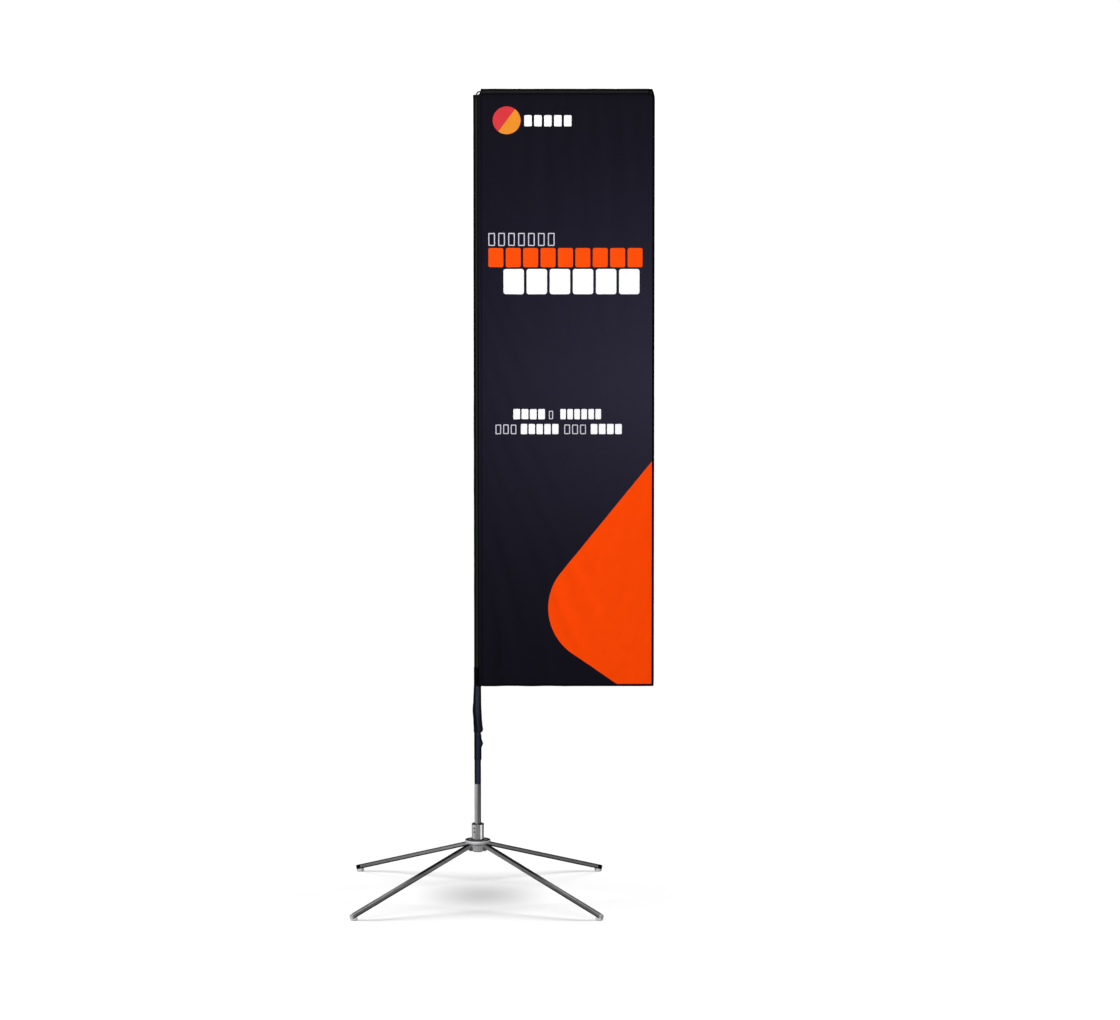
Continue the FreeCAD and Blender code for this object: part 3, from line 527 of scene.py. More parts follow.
def set_lights(floor):
    lamps = [
        panel_light("key", (-2.6, -6.0, 4.2), (0.2, 0.0, 1.5), 3.4, 3.4, 400.0),
        panel_light("overhead", (0.1, 0.2, 5.6), (0.1, 0.2, 0.0), 2.6, 2.6, 90.0),
        panel_light("strip", (0.82, -0.36, 0.05), (0.0, 0.0, 0.1), 0.5, 0.1, 0.17),
        panel_light("back_fill", (2.4, 6.5, 4.0), (0.2, 0.0, 1.5), 3.0, 3.0, 330.0, glossy=False),
    ]
    for lamp in lamps:
        lights_only(lamp, [floor], False)
    floor_lights(floor)
    back = bpy.data.worlds.new("studio")
    back.use_nodes = True
    bpy.context.scene.world = back
    tree = back.node_tree
    sky = tree.nodes["Background"]
    side, depth, upward = split(tree, node(tree, "TexCoord").outputs["Generated"])
    high = remap(tree, upward, 0.68, 0.98, 0.0, 0.8)
    front = remap(tree, depth, -0.35, -0.9, 0.0, 0.16)
    turned = remap(tree, side, -0.5, 0.6, 1.25, 0.35)
    level = times(tree, plus(tree, most(tree, high, front), 0.035), turned)
    soft = grey(tree, level)
    seen = node(tree, "LightPath").outputs["Is Camera Ray"]
    feed(tree, sky.inputs["Color"], mix(tree, seen, soft, (1.0, 1.0, 1.0, 1.0)))
    feed(tree, sky.inputs["Strength"], remap(tree, seen, 0.0, 1.0, 1.0, 1.15, "LINEAR"))
    bpy.context.scene.view_settings.view_transform = "Standard"


def floor_tone(tree, x, y):
    """White paper with a painted wide soft shadow under the hub."""
    wide = calc(tree, "DIVIDE", minus(tree, x, HUB_SHADE_SPOT), HUB_SHADE_SIZE[0])
    deep = calc(tree, "DIVIDE", y, HUB_SHADE_SIZE[1])
    shade = times(tree, remap(tree, far_from(tree, wide, deep), 0.0, 1.0, 1.0, 0.0), HUB_SHADE)
    return grey(tree, minus(tree, 0.8, times(tree, shade, 0.8)))


def make_floor():
    """A white floor for the camera, with soft shades from its lamps and a painted soft shadow under the hub,
    and a grey card for light and reflections.
    """
    bpy.ops.object.select_all(action="DESELECT")
    bpy.ops.mesh.primitive_circle_add(vertices=96, radius=12.0, fill_type="NGON", location=(0.0, 0.0, 0.0))
    floor = bpy.context.object
    floor.name = "floor"
    item = bpy.data.materials.new("floor_paper")
    item.use_nodes = True
    tree = item.node_tree
    tree.nodes.clear()
    x, y = split(tree, place(tree))[:2]
    paper = node(tree, "BsdfDiffuse")
    feed(tree, paper.inputs["Color"], floor_tone(tree, x, y))
    lift = node(tree, "Emission")
    lift.inputs["Strength"].default_value = FLOOR_LIFT
    glow = node(tree, "AddShader")
    tree.links.new(paper.outputs[0], glow.inputs[0])
    tree.links.new(lift.outputs[0], glow.inputs[1])
    ring = remap(tree, far_from(tree, x, y), 0.25, 0.9, 0.1, 0.26)
    left = times(tree, remap(tree, x, -0.5, -1.6, 0.0, 1.0), 0.5)
    behind = remap(tree, y, 0.5, 1.8, 1.0, 0.4)
    right = remap(tree, x, 1.1, 1.9, 1.0, 0.35)
    level = times(tree, times(tree, plus(tree, ring, left), behind), right)
    card = node(tree, "Emission")
    feed(tree, card.inputs["Color"], grey(tree, level))
    pick = node(tree, "MixShader")
    tree.links.new(node(tree, "LightPath").outputs["Is Camera Ray"], pick.inputs[0])
    tree.links.new(card.outputs[0], pick.inputs[1])
    tree.links.new(glow.outputs[0], pick.inputs[2])
    tree.links.new(pick.outputs[0], node(tree, "OutputMaterial").inputs[0])
    floor.data.materials.append(item)
    return floor


# ---------------------------------------------------------------- cloth shapes

RIPPLE_CAP = 3.5 * MM
HANG_FRAMES = 24
EDGE_PULL_FROM = 2676.0 * MM    # above this height the free edge leans in
LEAN_WIDTH = 90.0 * MM


def surface(name, columns, rows, point, closed=False, thickness=0.0, outward=-1.0):
    """A cloth surface from point(column, row) -> (x, y, z, u, v), with its UV map in metres."""
    across = columns if closed else columns + 1
    spots = [[point(i, j) for i in range(columns + 1)] for j in range(rows + 1)]
    points = [spots[j][i][:3] for j in range(rows + 1) for i in range(across)]
    faces, corners = [], []
    for j in range(rows):
        for i in range(columns):
            right = (i + 1) % across
            faces.append((j * across + i, j * across + right, (j + 1) * across + right, (j + 1) * across + i))
            corners += [spots[j][i][3:], spots[j][i + 1][3:], spots[j + 1][i + 1][3:], spots[j + 1][i][3:]]
    mesh = bpy.data.meshes.new(name)
    mesh.from_pydata(points, [], faces)
    layer = mesh.uv_layers.new(name="cut")
    for loop, corner in zip(layer.data, corners):
        loop.uv = corner
    mesh.polygons.foreach_set("use_smooth", [True] * len(mesh.polygons))
    item = linked(name, mesh)
    if thickness:
        wall = item.modifiers.new("wall", "SOLIDIFY")
        wall.thickness = thickness
        wall.offset = outward
    return item


def select_only(item):
    bpy.ops.object.select_all(action="DESELECT")
    bpy.context.view_layer.objects.active = item
    item.select_set(True)


def face_outwards(item, fill=False):
    """Turns a closed piece's faces outwards, once its open ends are filled where asked."""
    select_only(item)
    bpy.ops.object.mode_set(mode="EDIT")
    bpy.ops.mesh.select_all(action="SELECT")
    if fill:
        bpy.ops.mesh.fill_holes(sides=0)
    bpy.ops.mesh.normals_make_consistent(inside=False)
    bpy.ops.object.mode_set(mode="OBJECT")


def apply_all(item, levels=0):
    """Applies the piece's modifiers, after one more subdivision where asked."""
    if levels:
        finer = item.modifiers.new("finer", "SUBSURF")
        finer.levels = levels
        finer.render_levels = levels
    select_only(item)
    for modifier in list(item.modifiers):
        bpy.ops.object.modifier_apply(modifier=modifier.name)
    item.select_set(False)


def edge_pull(z):
    """The free edge leans in a little towards the top corner."""
    rise = max(0.0, z - EDGE_PULL_FROM)
    return 6.5 * rise * rise


def lean(x, z):
    return x - edge_pull(z) * smooth(x, FREE_EDGE - LEAN_WIDTH, FREE_EDGE)


def shallow_wave(x, z):
    """A stand-in for the simulated ripple: long folds that die away at the pole and the arm."""
    hold = smooth(x, 0.02, 0.25) * smooth(PANEL_TOP - z, 0.0, 0.3)
    fold = math.sin(7.5 * x + 2.1 * z) + 0.6 * math.sin(4.0 * z - 9.0 * x + 1.3)
    return 1.6 * MM * hold * fold


class Ripple:
    """How far the hung panel stands from its plane, on its own grid."""

    def __init__(self):
        self.left = SEAM_POINT - 1.3 * MM
        self.columns = 72
        self.rows = 248
        self.step_x = (FREE_EDGE - 0.4 * MM - self.left) / self.columns
        self.step_z = (PANEL_TOP - FLAG_BOTTOM - 0.4 * MM) / self.rows
        self.low = FLAG_BOTTOM + 0.4 * MM
        across = [self.left + i * self.step_x for i in range(self.columns + 1)]
        upward = [self.low + j * self.step_z for j in range(self.rows + 1)]
        self.depth = [[shallow_wave(x, z) for x in across] for z in upward]
        self.hang()

    def hang(self):
        """Lets the cloth settle under its own weight, held by the pole sleeve and the arm sleeve."""
        side, rows = self.columns + 1, self.rows + 1
        points = [
            (self.left + i * self.step_x, 0.25 * self.depth[j][i], self.low + j * self.step_z)
            for j in range(rows) for i in range(side)
        ]
        faces = [
            (j * side + i, j * side + i + 1, (j + 1) * side + i + 1, (j + 1) * side + i)
            for j in range(rows - 1) for i in range(side - 1)
        ]
        mesh = bpy.data.meshes.new("hung_cloth")
        mesh.from_pydata(points, [], faces)
        item = linked("hung_cloth", mesh)
        held = item.vertex_groups.new(name="held")
        sewn = [j * side + i for j in range(rows) for i in range(side) if i == 0 or j == rows - 1]
        held.add(sewn, 1.0, "REPLACE")
        cloth = item.modifiers.new("hang", "CLOTH")
        cloth.settings.vertex_group_mass = "held"
        cloth.settings.quality = 4
        cloth.settings.mass = 0.008
        cloth.settings.tension_stiffness = 18.0
        cloth.settings.compression_stiffness = 18.0
        cloth.settings.shear_stiffness = 6.0
        cloth.settings.bending_stiffness = 0.6
        cloth.settings.air_damping = 2.0
        cloth.settings.shrink_min = -0.004
        cloth.collision_settings.use_collision = False
        cloth.point_cache.frame_start = 1
        cloth.point_cache.frame_end = HANG_FRAMES
        scene = bpy.context.scene
        for step in range(1, HANG_FRAMES + 1):
            scene.frame_set(step)
        settled = item.evaluated_get(bpy.context.evaluated_depsgraph_get()).data
        for j in range(rows):
            for i in range(side):
                depth = settled.vertices[j * side + i].co.y
                self.depth[j][i] = RIPPLE_CAP * math.tanh(depth / RIPPLE_CAP)
        scene.frame_set(1)
        bpy.data.objects.remove(item)

    def at(self, x, z):
        """The panel's distance from its plane at a place on it."""
        i = min(self.columns - 1e-6, max(0.0, (x - self.left) / self.step_x))
        j = min(self.rows - 1e-6, max(0.0, (z - self.low) / self.step_z))
        column, row = int(i), int(j)
        part_x, part_z = i - column, j - row
        low = self.depth[row][column] * (1 - part_x) + self.depth[row][column + 1] * part_x
        high = self.depth[row + 1][column] * (1 - part_x) + self.depth[row + 1][column + 1] * part_x
        return low * (1 - part_z) + high * part_z

    def settle(self, item):
        """Moves a flat piece's points on to the rippled panel."""
        for vertex in item.data.vertices:
            x, y, z = vertex.co
            vertex.co.y = y + self.at(x, z)
            vertex.co.x = lean(x, z)


def hang_on_mast(item, material, slot, *nodes):
    item.data.materials.clear()
    item.data.materials.append(material)
    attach(item, "mast")
    if nodes:
        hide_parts(*nodes)


def make_panel(ripple, material):
    def point(i, j):
        x = ripple.left + i * ripple.step_x
        z = ripple.low + j * ripple.step_z
        return lean(x, z), ripple.depth[j][i], z, x, z

    item = surface("flag_cloth", ripple.columns, ripple.rows, point, thickness=0.35 * MM, outward=0.0)
    apply_all(item)
    hang_on_mast(item, material, "printed_cloth", "flag_panel")
    return item


def tape_line():
    """The bound edge: down the free edge, round the lower corner and along to the sleeve."""
    turn = 6.0 * MM
    half = 4.0 * MM
    right, low, left, top = FREE_EDGE - half, FLAG_BOTTOM + half, 13.0 * MM, PANEL_TOP
    rows, columns = 240, 70
    points = [(right, top + (low + turn - top) * j / rows) for j in range(rows + 1)]
    for step in range(1, 6):
        angle = math.radians(90.0 * step / 6.0)
        points.append((right - turn * (1 - math.cos(angle)), low + turn * (1 - math.sin(angle))))
    points += [(right - turn + (left - right + turn) * i / columns, low) for i in range(columns + 1)]
    return points


def make_edge_tape(ripple, material):
    """Folded tape: a flat oval section swept along the edge, thinner where the needle pulls it in."""
    line = tape_line()
    section = (
        (4.0, 0.0), (3.7, 0.75), (2.2, 0.95), (-1.2, 0.9), (-2.6, 0.62), (-3.5, 0.72), (-4.0, 0.35),
        (-4.0, -0.35), (-3.5, -0.72), (-2.6, -0.62), (-1.2, -0.9), (2.2, -0.95), (3.7, -0.75),
    )
    run = [0.0]
    for (x0, z0), (x1, z1) in zip(line, line[1:]):
        run.append(run[-1] + math.hypot(x1 - x0, z1 - z0))

    def point(i, j):
        before, after = line[max(0, j - 1)], line[min(len(line) - 1, j + 1)]
        step_x, step_z = after[0] - before[0], after[1] - before[1]
        size = math.hypot(step_x, step_z)
        out_x, out_z = -step_z / size, step_x / size
        reach, lift = section[i % len(section)]
        pucker = 1.0 + 0.12 * math.sin(run[j] * 420.0)
        x = line[j][0] + out_x * reach * MM
        z = line[j][1] + out_z * reach * MM
        return x, lift * pucker * MM, z, i * 1.3 * MM, run[j]

    item = surface("edge_tape", len(section), len(line) - 1, point, closed=True)
    face_outwards(item, fill=True)
    ripple.settle(item)
    hang_on_mast(item, material, "binding_tape", "edge_binding")
    return item


def merge(pieces, name):
    """Joins separate layers of one sewn piece."""
    bpy.ops.object.select_all(action="DESELECT")
    for piece in pieces:
        piece.select_set(True)
    bpy.context.view_layer.objects.active = pieces[0]
    bpy.ops.object.join()
    pieces[0].name = name
    pieces[0].select_set(False)
    return pieces[0]


def crease(angle, z, amount):
    """Soft wrinkles round a sleeve: long pulls down it with short ones across."""
    spot = Vector((math.cos(angle) * 1.3, math.sin(angle) * 1.3, z * 9.0))
    fine = Vector((math.cos(angle) * 2.2, math.sin(angle) * 2.2, z * 42.0))
    return amount * (0.7 * noise.noise(spot) + 0.45 * noise.noise(fine) + 0.35)


# ---------------------------------------------------------------- the pole sleeve and its heading

TANGENT = math.acos(SLEEVE_RADIUS / SEAM_POINT)


def make_pole_sleeve(material):
    """The black sleeve: a cloth tube round the pole, open towards the panel, hemmed at its top."""
    columns, rows = 44, 330
    low, high = FLAG_BOTTOM + 0.5 * MM, SLEEVE_TOP

    def point(i, j):
        angle = -TANGENT + 0.04 - (2 * math.pi - 2 * TANGENT + 0.08) * i / columns
        z = low + (high - low) * j / rows
        loose = smooth(abs(math.pi - angle % (2 * math.pi)), 0.3, 1.4)
        radius = SLEEVE_RADIUS + crease(angle, z, 0.5 * MM) * (1.0 - 0.4 * loose)
        hem = smooth(z, high - 10.0 * MM, high - 8.5 * MM)
        radius += 0.6 * MM * hem * (1.0 - smooth(z, high - 1.5 * MM, high))
        return radius * math.cos(angle), radius * math.sin(angle), z, angle * SLEEVE_RADIUS, z

    item = surface("pole_sleeve_cloth", columns, rows, point, thickness=0.45 * MM, outward=1.0)
    apply_all(item)
    hang_on_mast(item, material, "sleeve_cloth", "pole_sleeve")
    return item


def make_heading(material):
    """The printed panel's two leaves, lapped over the black sleeve and closing at the seam."""
    leaves = []
    for side, name in ((-1.0, "front_leaf"), (1.0, "back_leaf")):
        columns, rows = 10, 330
        low, high = FLAG_BOTTOM + 0.4 * MM, PANEL_TOP

        def point(i, j):
            z = low + (high - low) * j / rows
            part = i / columns
            lap = -2.0 * MM
            length = math.sqrt(SEAM_POINT ** 2 - SLEEVE_RADIUS ** 2)
            run = lap + (length - lap) * part
            angle = -side * TANGENT
            x = SLEEVE_RADIUS * math.cos(TANGENT) + run * math.sin(TANGENT)
            off = SLEEVE_RADIUS * math.sin(TANGENT) - run * math.cos(TANGENT) + 0.75 * MM * (1.0 - part)
            puff = 0.5 * MM * math.sin(math.pi * part) + crease(angle + part, z, 0.35 * MM) * (1.0 - part)
            return x, side * (off + puff), z, x, z

        leaves.append(surface(name, columns, rows, point, thickness=0.4 * MM, outward=0.0))
    item = merge(leaves, "panel_heading")
    apply_all(item)
    hang_on_mast(item, material, "printed_cloth", "pole_sleeve")
    return item


def make_sleeve_patch(material):
    """The doubled cloth at the sleeve's lower end."""
    columns, rows = 44, 16
    low, high = FLAG_BOTTOM - 1.0 * MM, FLAG_BOTTOM + 65.0 * MM

    def point(i, j):
        angle = -TANGENT - 0.02 - (2 * math.pi - 2 * TANGENT - 0.04) * i / columns
        z = low + (high - low) * j / rows
        edge = min(1, j, rows - j)
        radius = SLEEVE_RADIUS + 0.75 * MM + 0.2 * MM * edge + crease(angle, z, 0.3 * MM)
        return radius * math.cos(angle), radius * math.sin(angle), z, angle * SLEEVE_RADIUS, z

    item = surface("sleeve_patch_cloth", columns, rows, point, thickness=0.6 * MM, outward=1.0)
    apply_all(item)
    hang_on_mast(item, material, "patch_cloth", "sleeve_patch")
    return item


# ---------------------------------------------------------------- the arm sleeve and the top corner

ARM_LEFT = 10.2 * MM
ARM_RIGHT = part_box("arm_sleeve")[1][0]


def arm_section(angle, swell=0.0):
    """The arm sleeve's half height and depth at an angle from its top; it narrows to its seam."""
    pinch = 1.0 - 0.72 * smooth(-math.cos(angle), 0.5, 1.0)
    depth = (6.4 * MM + swell) * math.copysign(abs(math.sin(angle)) ** 0.9, math.sin(angle)) * pinch
    return depth, (8.95 * MM + swell) * math.cos(angle)


def make_arm_sleeve(material):
    columns, rows = 28, 150

    def point(i, j):
        angle = 2 * math.pi * i / columns
        part = j / rows
        depth, height = arm_section(angle)
        start = ARM_LEFT + 0.36 * (height + 4.0 * MM)
        x = start + (ARM_RIGHT + 0.5 * MM - start) * part
        hem = 1.0 - smooth(x - start, 4.0 * MM, 5.5 * MM)
        depth, height = arm_section(angle, 0.45 * MM * hem)
        out, up = math.sin(angle), math.cos(angle)
        slack = 0.5 * MM * (0.6 + noise.noise(Vector((x * 14.0, out * 1.2, up * 1.2))))
        slack += 0.3 * MM * noise.noise(Vector((x * 60.0, out * 2.0, up * 2.0)))
        slack *= smooth(part, 0.0, 0.05)
        return x, depth + slack * out, ARM_AXIS + height + slack * up, x, angle * 7.5 * MM

    item = surface("arm_sleeve_cloth", columns, rows, point, closed=True, thickness=0.45 * MM, outward=-1.0)
    apply_all(item)
    hang_on_mast(item, material, "sleeve_cloth", "arm_sleeve")
    return item


def make_corner_patch(material):
    """Folded webbing that closes the arm sleeve's outer end."""
    section = (
        (0.0, 1.1), (0.6, 1.75), (3.0, 1.9), (10.0, 1.95), (17.0, 1.9), (19.4, 1.5), (20.0, 0.6),
        (20.0, -0.6), (19.4, -1.5), (17.0, -1.9), (10.0, -1.95), (3.0, -1.9), (0.6, -1.75), (0.0, -1.1),
    )
    levels = (2691.6, 2692.0, 2694.0, 2697.0, 2700.0, 2703.0, 2706.0, 2709.0, 2711.3, 2711.9, 2712.05)
    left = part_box("corner_patch")[0][0]

    def point(i, j):
        reach, lift = section[i % len(section)]
        z = levels[j] * MM
        end = 1.0 - 0.45 * (1.0 if j in (0, len(levels) - 1) else 0.0)
        side = FREE_EDGE - edge_pull(z)
        x = left + (side - left) * reach / 20.0
        return x, lift * end * MM, z, x, z

    item = surface("corner_patch_cloth", len(section), len(levels) - 1, point, closed=True)
    face_outwards(item, fill=True)
    hang_on_mast(item, material, "binding_tape", "corner_patch")
    return item


# ---------------------------------------------------------------- the loose tail and the strap

TAIL_LEFT = ((556, 12.5), (563, 13.0), (596, 14.4), (631, 16.7), (665, 14.6), (712, 13.1))
TAIL_RIGHT = ((563, 18.4), (580, 16.4), (597, 14.8), (614, 13.9), (648, 12.3), (712, 11.9))
TAIL_HEM = 556.6 * MM
TAIL_CLEAR = 12.0 * MM      # the tail never comes nearer to the pole's axis
STRAP_LOW, STRAP_HIGH = 463.2 * MM, 548.8 * MM
STRAP_CORNER = 519.0 * MM   # height of the strap's lifted corner


def sized(levels):
    return tuple((z * MM, size * MM) for z, size in levels)


def straight(value, levels):
    """Straight runs between (place, size) levels."""
    if value <= levels[0][0]:
        return levels[0][1]
    for (low, first), (high, second) in zip(levels, levels[1:]):
        if value <= high:
            return first + (second - first) * (value - low) / (high - low)
    return levels[-1][1]


def make_tail(material):
    """The sleeve's loose end below the panel, flaring to a corner on the panel's side."""
    columns, rows = 72, 44
    high = FLAG_BOTTOM + 3.0 * MM
    left_line, right_line = sized(TAIL_LEFT), sized(TAIL_RIGHT)

    def point(i, j):
        angle = 2 * math.pi * i / columns
        rightward = max(0.0, math.cos(angle))
        flare = smooth(rightward, 0.72, 1.0)
        hem = TAIL_HEM + 6.2 * MM * flare
        z = hem + (high - hem) * j / rows
        level = min(z, 712.0 * MM)
        left = between(level, left_line)
        right = straight(level, right_line)
        middle, half = (right - left) / 2.0, (right + left) / 2.0
        drop = smooth(high - z, 0.0, 0.12)
        deep = 12.6 * MM + 1.9 * MM * drop
        point_out = rightward ** 3.0
        spot = Vector((math.cos(angle) * 1.6, math.sin(angle) * 1.6, z * 30.0))
        fold = 0.55 * MM * drop * math.sin(5.0 * angle + 26.0 * z + 0.8)
        fold += 0.5 * MM * drop * noise.noise(spot)
        fold *= 1.0 - point_out
        sideways = math.copysign(abs(math.cos(angle)) ** (1.0 + 0.25 * drop), math.cos(angle))
        x = middle + half * sideways + fold * math.cos(angle)
        y = deep * math.sin(angle) * (1.0 - 0.35 * drop * point_out) + fold * math.sin(angle)
        near = math.hypot(x, y)
        if near < TAIL_CLEAR:
            x, y = x * TAIL_CLEAR / near, y * TAIL_CLEAR / near
        fat = 0.45 * MM * (1.0 - smooth(z - hem, 7.0 * MM, 8.5 * MM))
        return x + fat * math.cos(angle), y + fat * math.sin(angle), z, angle * 12.5 * MM, z

    item = surface("tail_cloth", columns, rows, point, closed=True, thickness=0.55 * MM, outward=-1.0)
    apply_all(item, levels=1)
    hang_on_mast(item, material, "tail_cloth", "sleeve_tail")
    return item


def make_strap(material):
    """A strap sewn inside the tail, wrapped round the pole, with its end lifting in one corner."""
    core = POLE_RADIUS + 0.45 * MM
    columns, rows = 84, 34
    free = 17.4 * MM
    leave = math.radians(-76.0)
    wrap = math.radians(380.0)

    def lift(z):
        above = z - STRAP_CORNER
        if above > 0.0:
            return 0.75 * max(0.0, 1.0 - above / (21.0 * MM)) ** 2.1
        return 0.75 * max(0.0, 1.0 + above / (15.0 * MM))

    def point(i, j):
        z = STRAP_LOW + (STRAP_HIGH - STRAP_LOW) * j / rows
        length = core * wrap + free
        run = length * i / columns
        layer = 1.0 * MM * smooth(run, core * math.radians(280.0), core * math.radians(390.0))
        radius = core + layer + 0.2 * MM * noise.noise(Vector((run * 90.0, 0.3, z * 40.0)))
        tied = min(run, core * wrap)
        angle = leave - wrap + tied / core
        x, y = radius * math.cos(angle), radius * math.sin(angle)
        extra = run - tied
        if extra > 0.0:
            steps = 12
            heading = angle + math.pi / 2
            bend = (1.0 - lift(z)) / radius
            for _ in range(steps):
                heading += bend * extra / steps / 2
                x += math.cos(heading) * extra / steps
                y += math.sin(heading) * extra / steps
                heading += bend * extra / steps / 2
        return x, y, z, run, z

    wound = surface("wound", columns, rows, point, thickness=0.8 * MM, outward=0.0)

    def tab(i, j):
        angle = math.pi + (i / 8.0 - 0.5) * 1.7
        z = 540.0 * MM + 150.0 * MM * j / 20
        radius = POLE_RADIUS + 0.55 * MM
        return radius * math.cos(angle), radius * math.sin(angle), z, angle * radius, z

    upper = surface("tab", 8, 20, tab, thickness=0.7 * MM, outward=0.0)
    item = merge([wound, upper], "strap_cloth")
    apply_all(item, levels=1)
    hang_on_mast(item, material, "strap_webbing", "tension_strap")
    return item


# ---------------------------------------------------------------- stitching

STITCH = 2.7 * MM
PITCH = 4.0 * MM
THREAD = 0.32 * MM


def stitches(name, runs, material, slot):
    """Raised thread along runs of ((place, heading, outward), ...), one dash at each."""
    points, faces = [], []
    for spot, heading, outward in runs:
        along_it = Vector(heading).normalized()
        out = Vector(outward).normalized()
        wide = along_it.cross(out)
        middle = Vector(spot) + out * THREAD * 0.35
        start = len(points)
        points += [
            middle - along_it * STITCH / 2 - out * THREAD * 0.8,
            middle + wide * THREAD,
            middle + out * THREAD,
            middle - wide * THREAD,
            middle - out * THREAD,
            middle + along_it * STITCH / 2 - out * THREAD * 0.8,
        ]
        for side in range(4):
            here, there = start + 1 + side, start + 1 + (side + 1) % 4
            faces.append((start, there, here))
            faces.append((start + 5, here, there))
    mesh = bpy.data.meshes.new(name)
    mesh.from_pydata(points, [], faces)
    item = linked(name, mesh)
    face_outwards(item)
    bpy.ops.object.shade_smooth()
    hang_on_mast(item, material, slot)
    return item


def steps_between(low, high):
    count = int((high - low) / PITCH)
    return [low + (high - low) * (step + 0.5) / count for step in range(count)]


def make_stitching(ripple, material):
    rows = []
    inner, tape_face, patch_face = 5.9 * MM, 0.68 * MM, 1.95 * MM
    for side in (-1.0, 1.0):
        out = (0.0, side, 0.0)
        for z in steps_between(FLAG_BOTTOM + inner, PANEL_TOP - 4.0 * MM):
            x = lean(FREE_EDGE - inner, z)
            rows.append(((x, ripple.at(x, z) + side * tape_face, z), (0, 0, 1), out))
        for x in steps_between(20.0 * MM, FREE_EDGE - inner):
            z = FLAG_BOTTOM + inner
            rows.append(((x, ripple.at(x, z) + side * tape_face, z), (1, 0, 0), out))
        for x in steps_between(24.0 * MM, ARM_RIGHT - 3.0 * MM):
            rows.append(((x, side * patch_face, 2696.4 * MM), (1, 0, 0), out))
        for z in steps_between(2694.5 * MM, 2710.5 * MM):
            rows.append(((ARM_RIGHT + 2.2 * MM, side * 1.9 * MM, z), (0, 0, 1), out))
    edge = stitches("edge_thread", rows, material, "binding_tape")
    rows = []
    for side in (-1.0, 1.0):
        slope = (math.cos(TANGENT), side * math.sin(TANGENT), 0.0)
        x = (SLEEVE_RADIUS + 1.0 * MM) * math.cos(TANGENT) + 0.4 * MM
        y = side * ((SLEEVE_RADIUS + 1.05 * MM) * math.sin(TANGENT) + 0.2 * MM)
        for z in steps_between(FLAG_BOTTOM + 66.0 * MM, PANEL_TOP - 4.0 * MM):
            rows.append(((x, y, z), (0, 0, 1), slope))
    seam = stitches("sleeve_thread", rows, material, "sleeve_cloth")
    return [edge, seam]


# ---------------------------------------------------------------- cloth finishes

def weave(tree, across, up, depth, bed=0.55):
    """Over and under threads on the piece's own cut lines; returns the normal and the thread height."""
    lines = split(tree, node(tree, "UVMap", uv_map="cut").outputs[0])
    warp = calc(tree, "SINE", times(tree, lines[0], 2.0 * math.pi / across))
    weft = calc(tree, "SINE", times(tree, lines[1], 2.0 * math.pi / up))
    height = calc(tree, "MULTIPLY_ADD", times(tree, warp, weft), 0.5, 0.5)
    wide = grain(tree, place(tree), 70.0, 3.0, 0.55)
    body = bumped(tree, wide, 0.5 * MM, bed)
    return bumped(tree, height, depth, 0.6, body), height


def woven(name, colour, across, up, depth, roughness=0.88, lift=0.35, bed=0.35, worn=None, **constants):
    """Plain dyed cloth or webbing with its weave and a faint uneven tone.

    A worn rule (tree, colour) -> colour paints light and shade on the dye where the piece is to look darker
    or paler.
    """
    item, tree, shader = finish(name, **constants)
    normal, height = weave(tree, across, up, depth, bed)
    cloud = grain(tree, place(tree), 30.0, 4.0, 0.6)
    pale = shaded(colour, 1.0 + lift, 0.0004)
    tone_part = calc(tree, "MULTIPLY_ADD", height, 0.5, remap(tree, cloud, 0.3, 0.75, 0.0, 0.5), clamp=True)
    dye = mix(tree, tone_part, colour, pale)
    dull = remap(tree, height, 0.0, 1.0, roughness + 0.07, roughness - 0.05)
    coat(tree, shader, worn(tree, dye) if worn else dye, dull, normal)
    return item


def band(tree, value, low, high, soft):
    """One inside a band, with soft sides."""
    rise = remap(tree, value, low - soft, low + soft)
    fall = remap(tree, value, high - soft, high + soft, 1.0, 0.0)
    return times(tree, rise, fall)


def sleeve_painted_highlight(tree, dye):
    """The pole sleeve: a painted highlight down its front, green-black on its front beside the print, and
    black at its hem, where the painted highlight stops.
    """
    x, _, z = split(tree, place(tree))
    front = remap(tree, facing(tree)[1], -0.2, -0.6)
    beside = times(tree, band(tree, x, 2.6 * MM, 8.4 * MM, 0.9 * MM), front)
    dye = mix(tree, beside, dye, tone(4, 12, 8, 0.8))
    # painted highlight: a paler band down the sleeve's front
    painted_highlight = times(tree, band(tree, x, -4.0 * MM, 2.0 * MM, 1.3 * MM), front)
    painted_highlight = times(tree, painted_highlight, remap(tree, z, 2683.0 * MM, 2687.0 * MM, 1.0, 0.0))
    return mix(tree, painted_highlight, dye, tone(38, 38, 36, 0.8))


def arm_painted_light(tree, dye):
    """The arm sleeve: a painted highlight along its front with a dim painted band below it, and black over
    the top.
    """
    z = split(tree, place(tree))[2]
    painted_highlight = band(tree, z, 2699.5 * MM, 2705.0 * MM, 1.5 * MM)
    # painted light: a dim band below the front, then a paler painted highlight along it
    dye = mix(tree, band(tree, z, 2693.0 * MM, 2699.5 * MM, 1.0 * MM), dye, tone(19, 19, 22, 0.9))
    return mix(tree, painted_highlight, dye, tone(36, 36, 37, 0.8))


def round_painted_shade(tree, dye):
    """Loose cloth round the pole: painted shade, near black where it turns away."""
    return mix(tree, round_shade(tree), dye, tone(2, 2, 4))


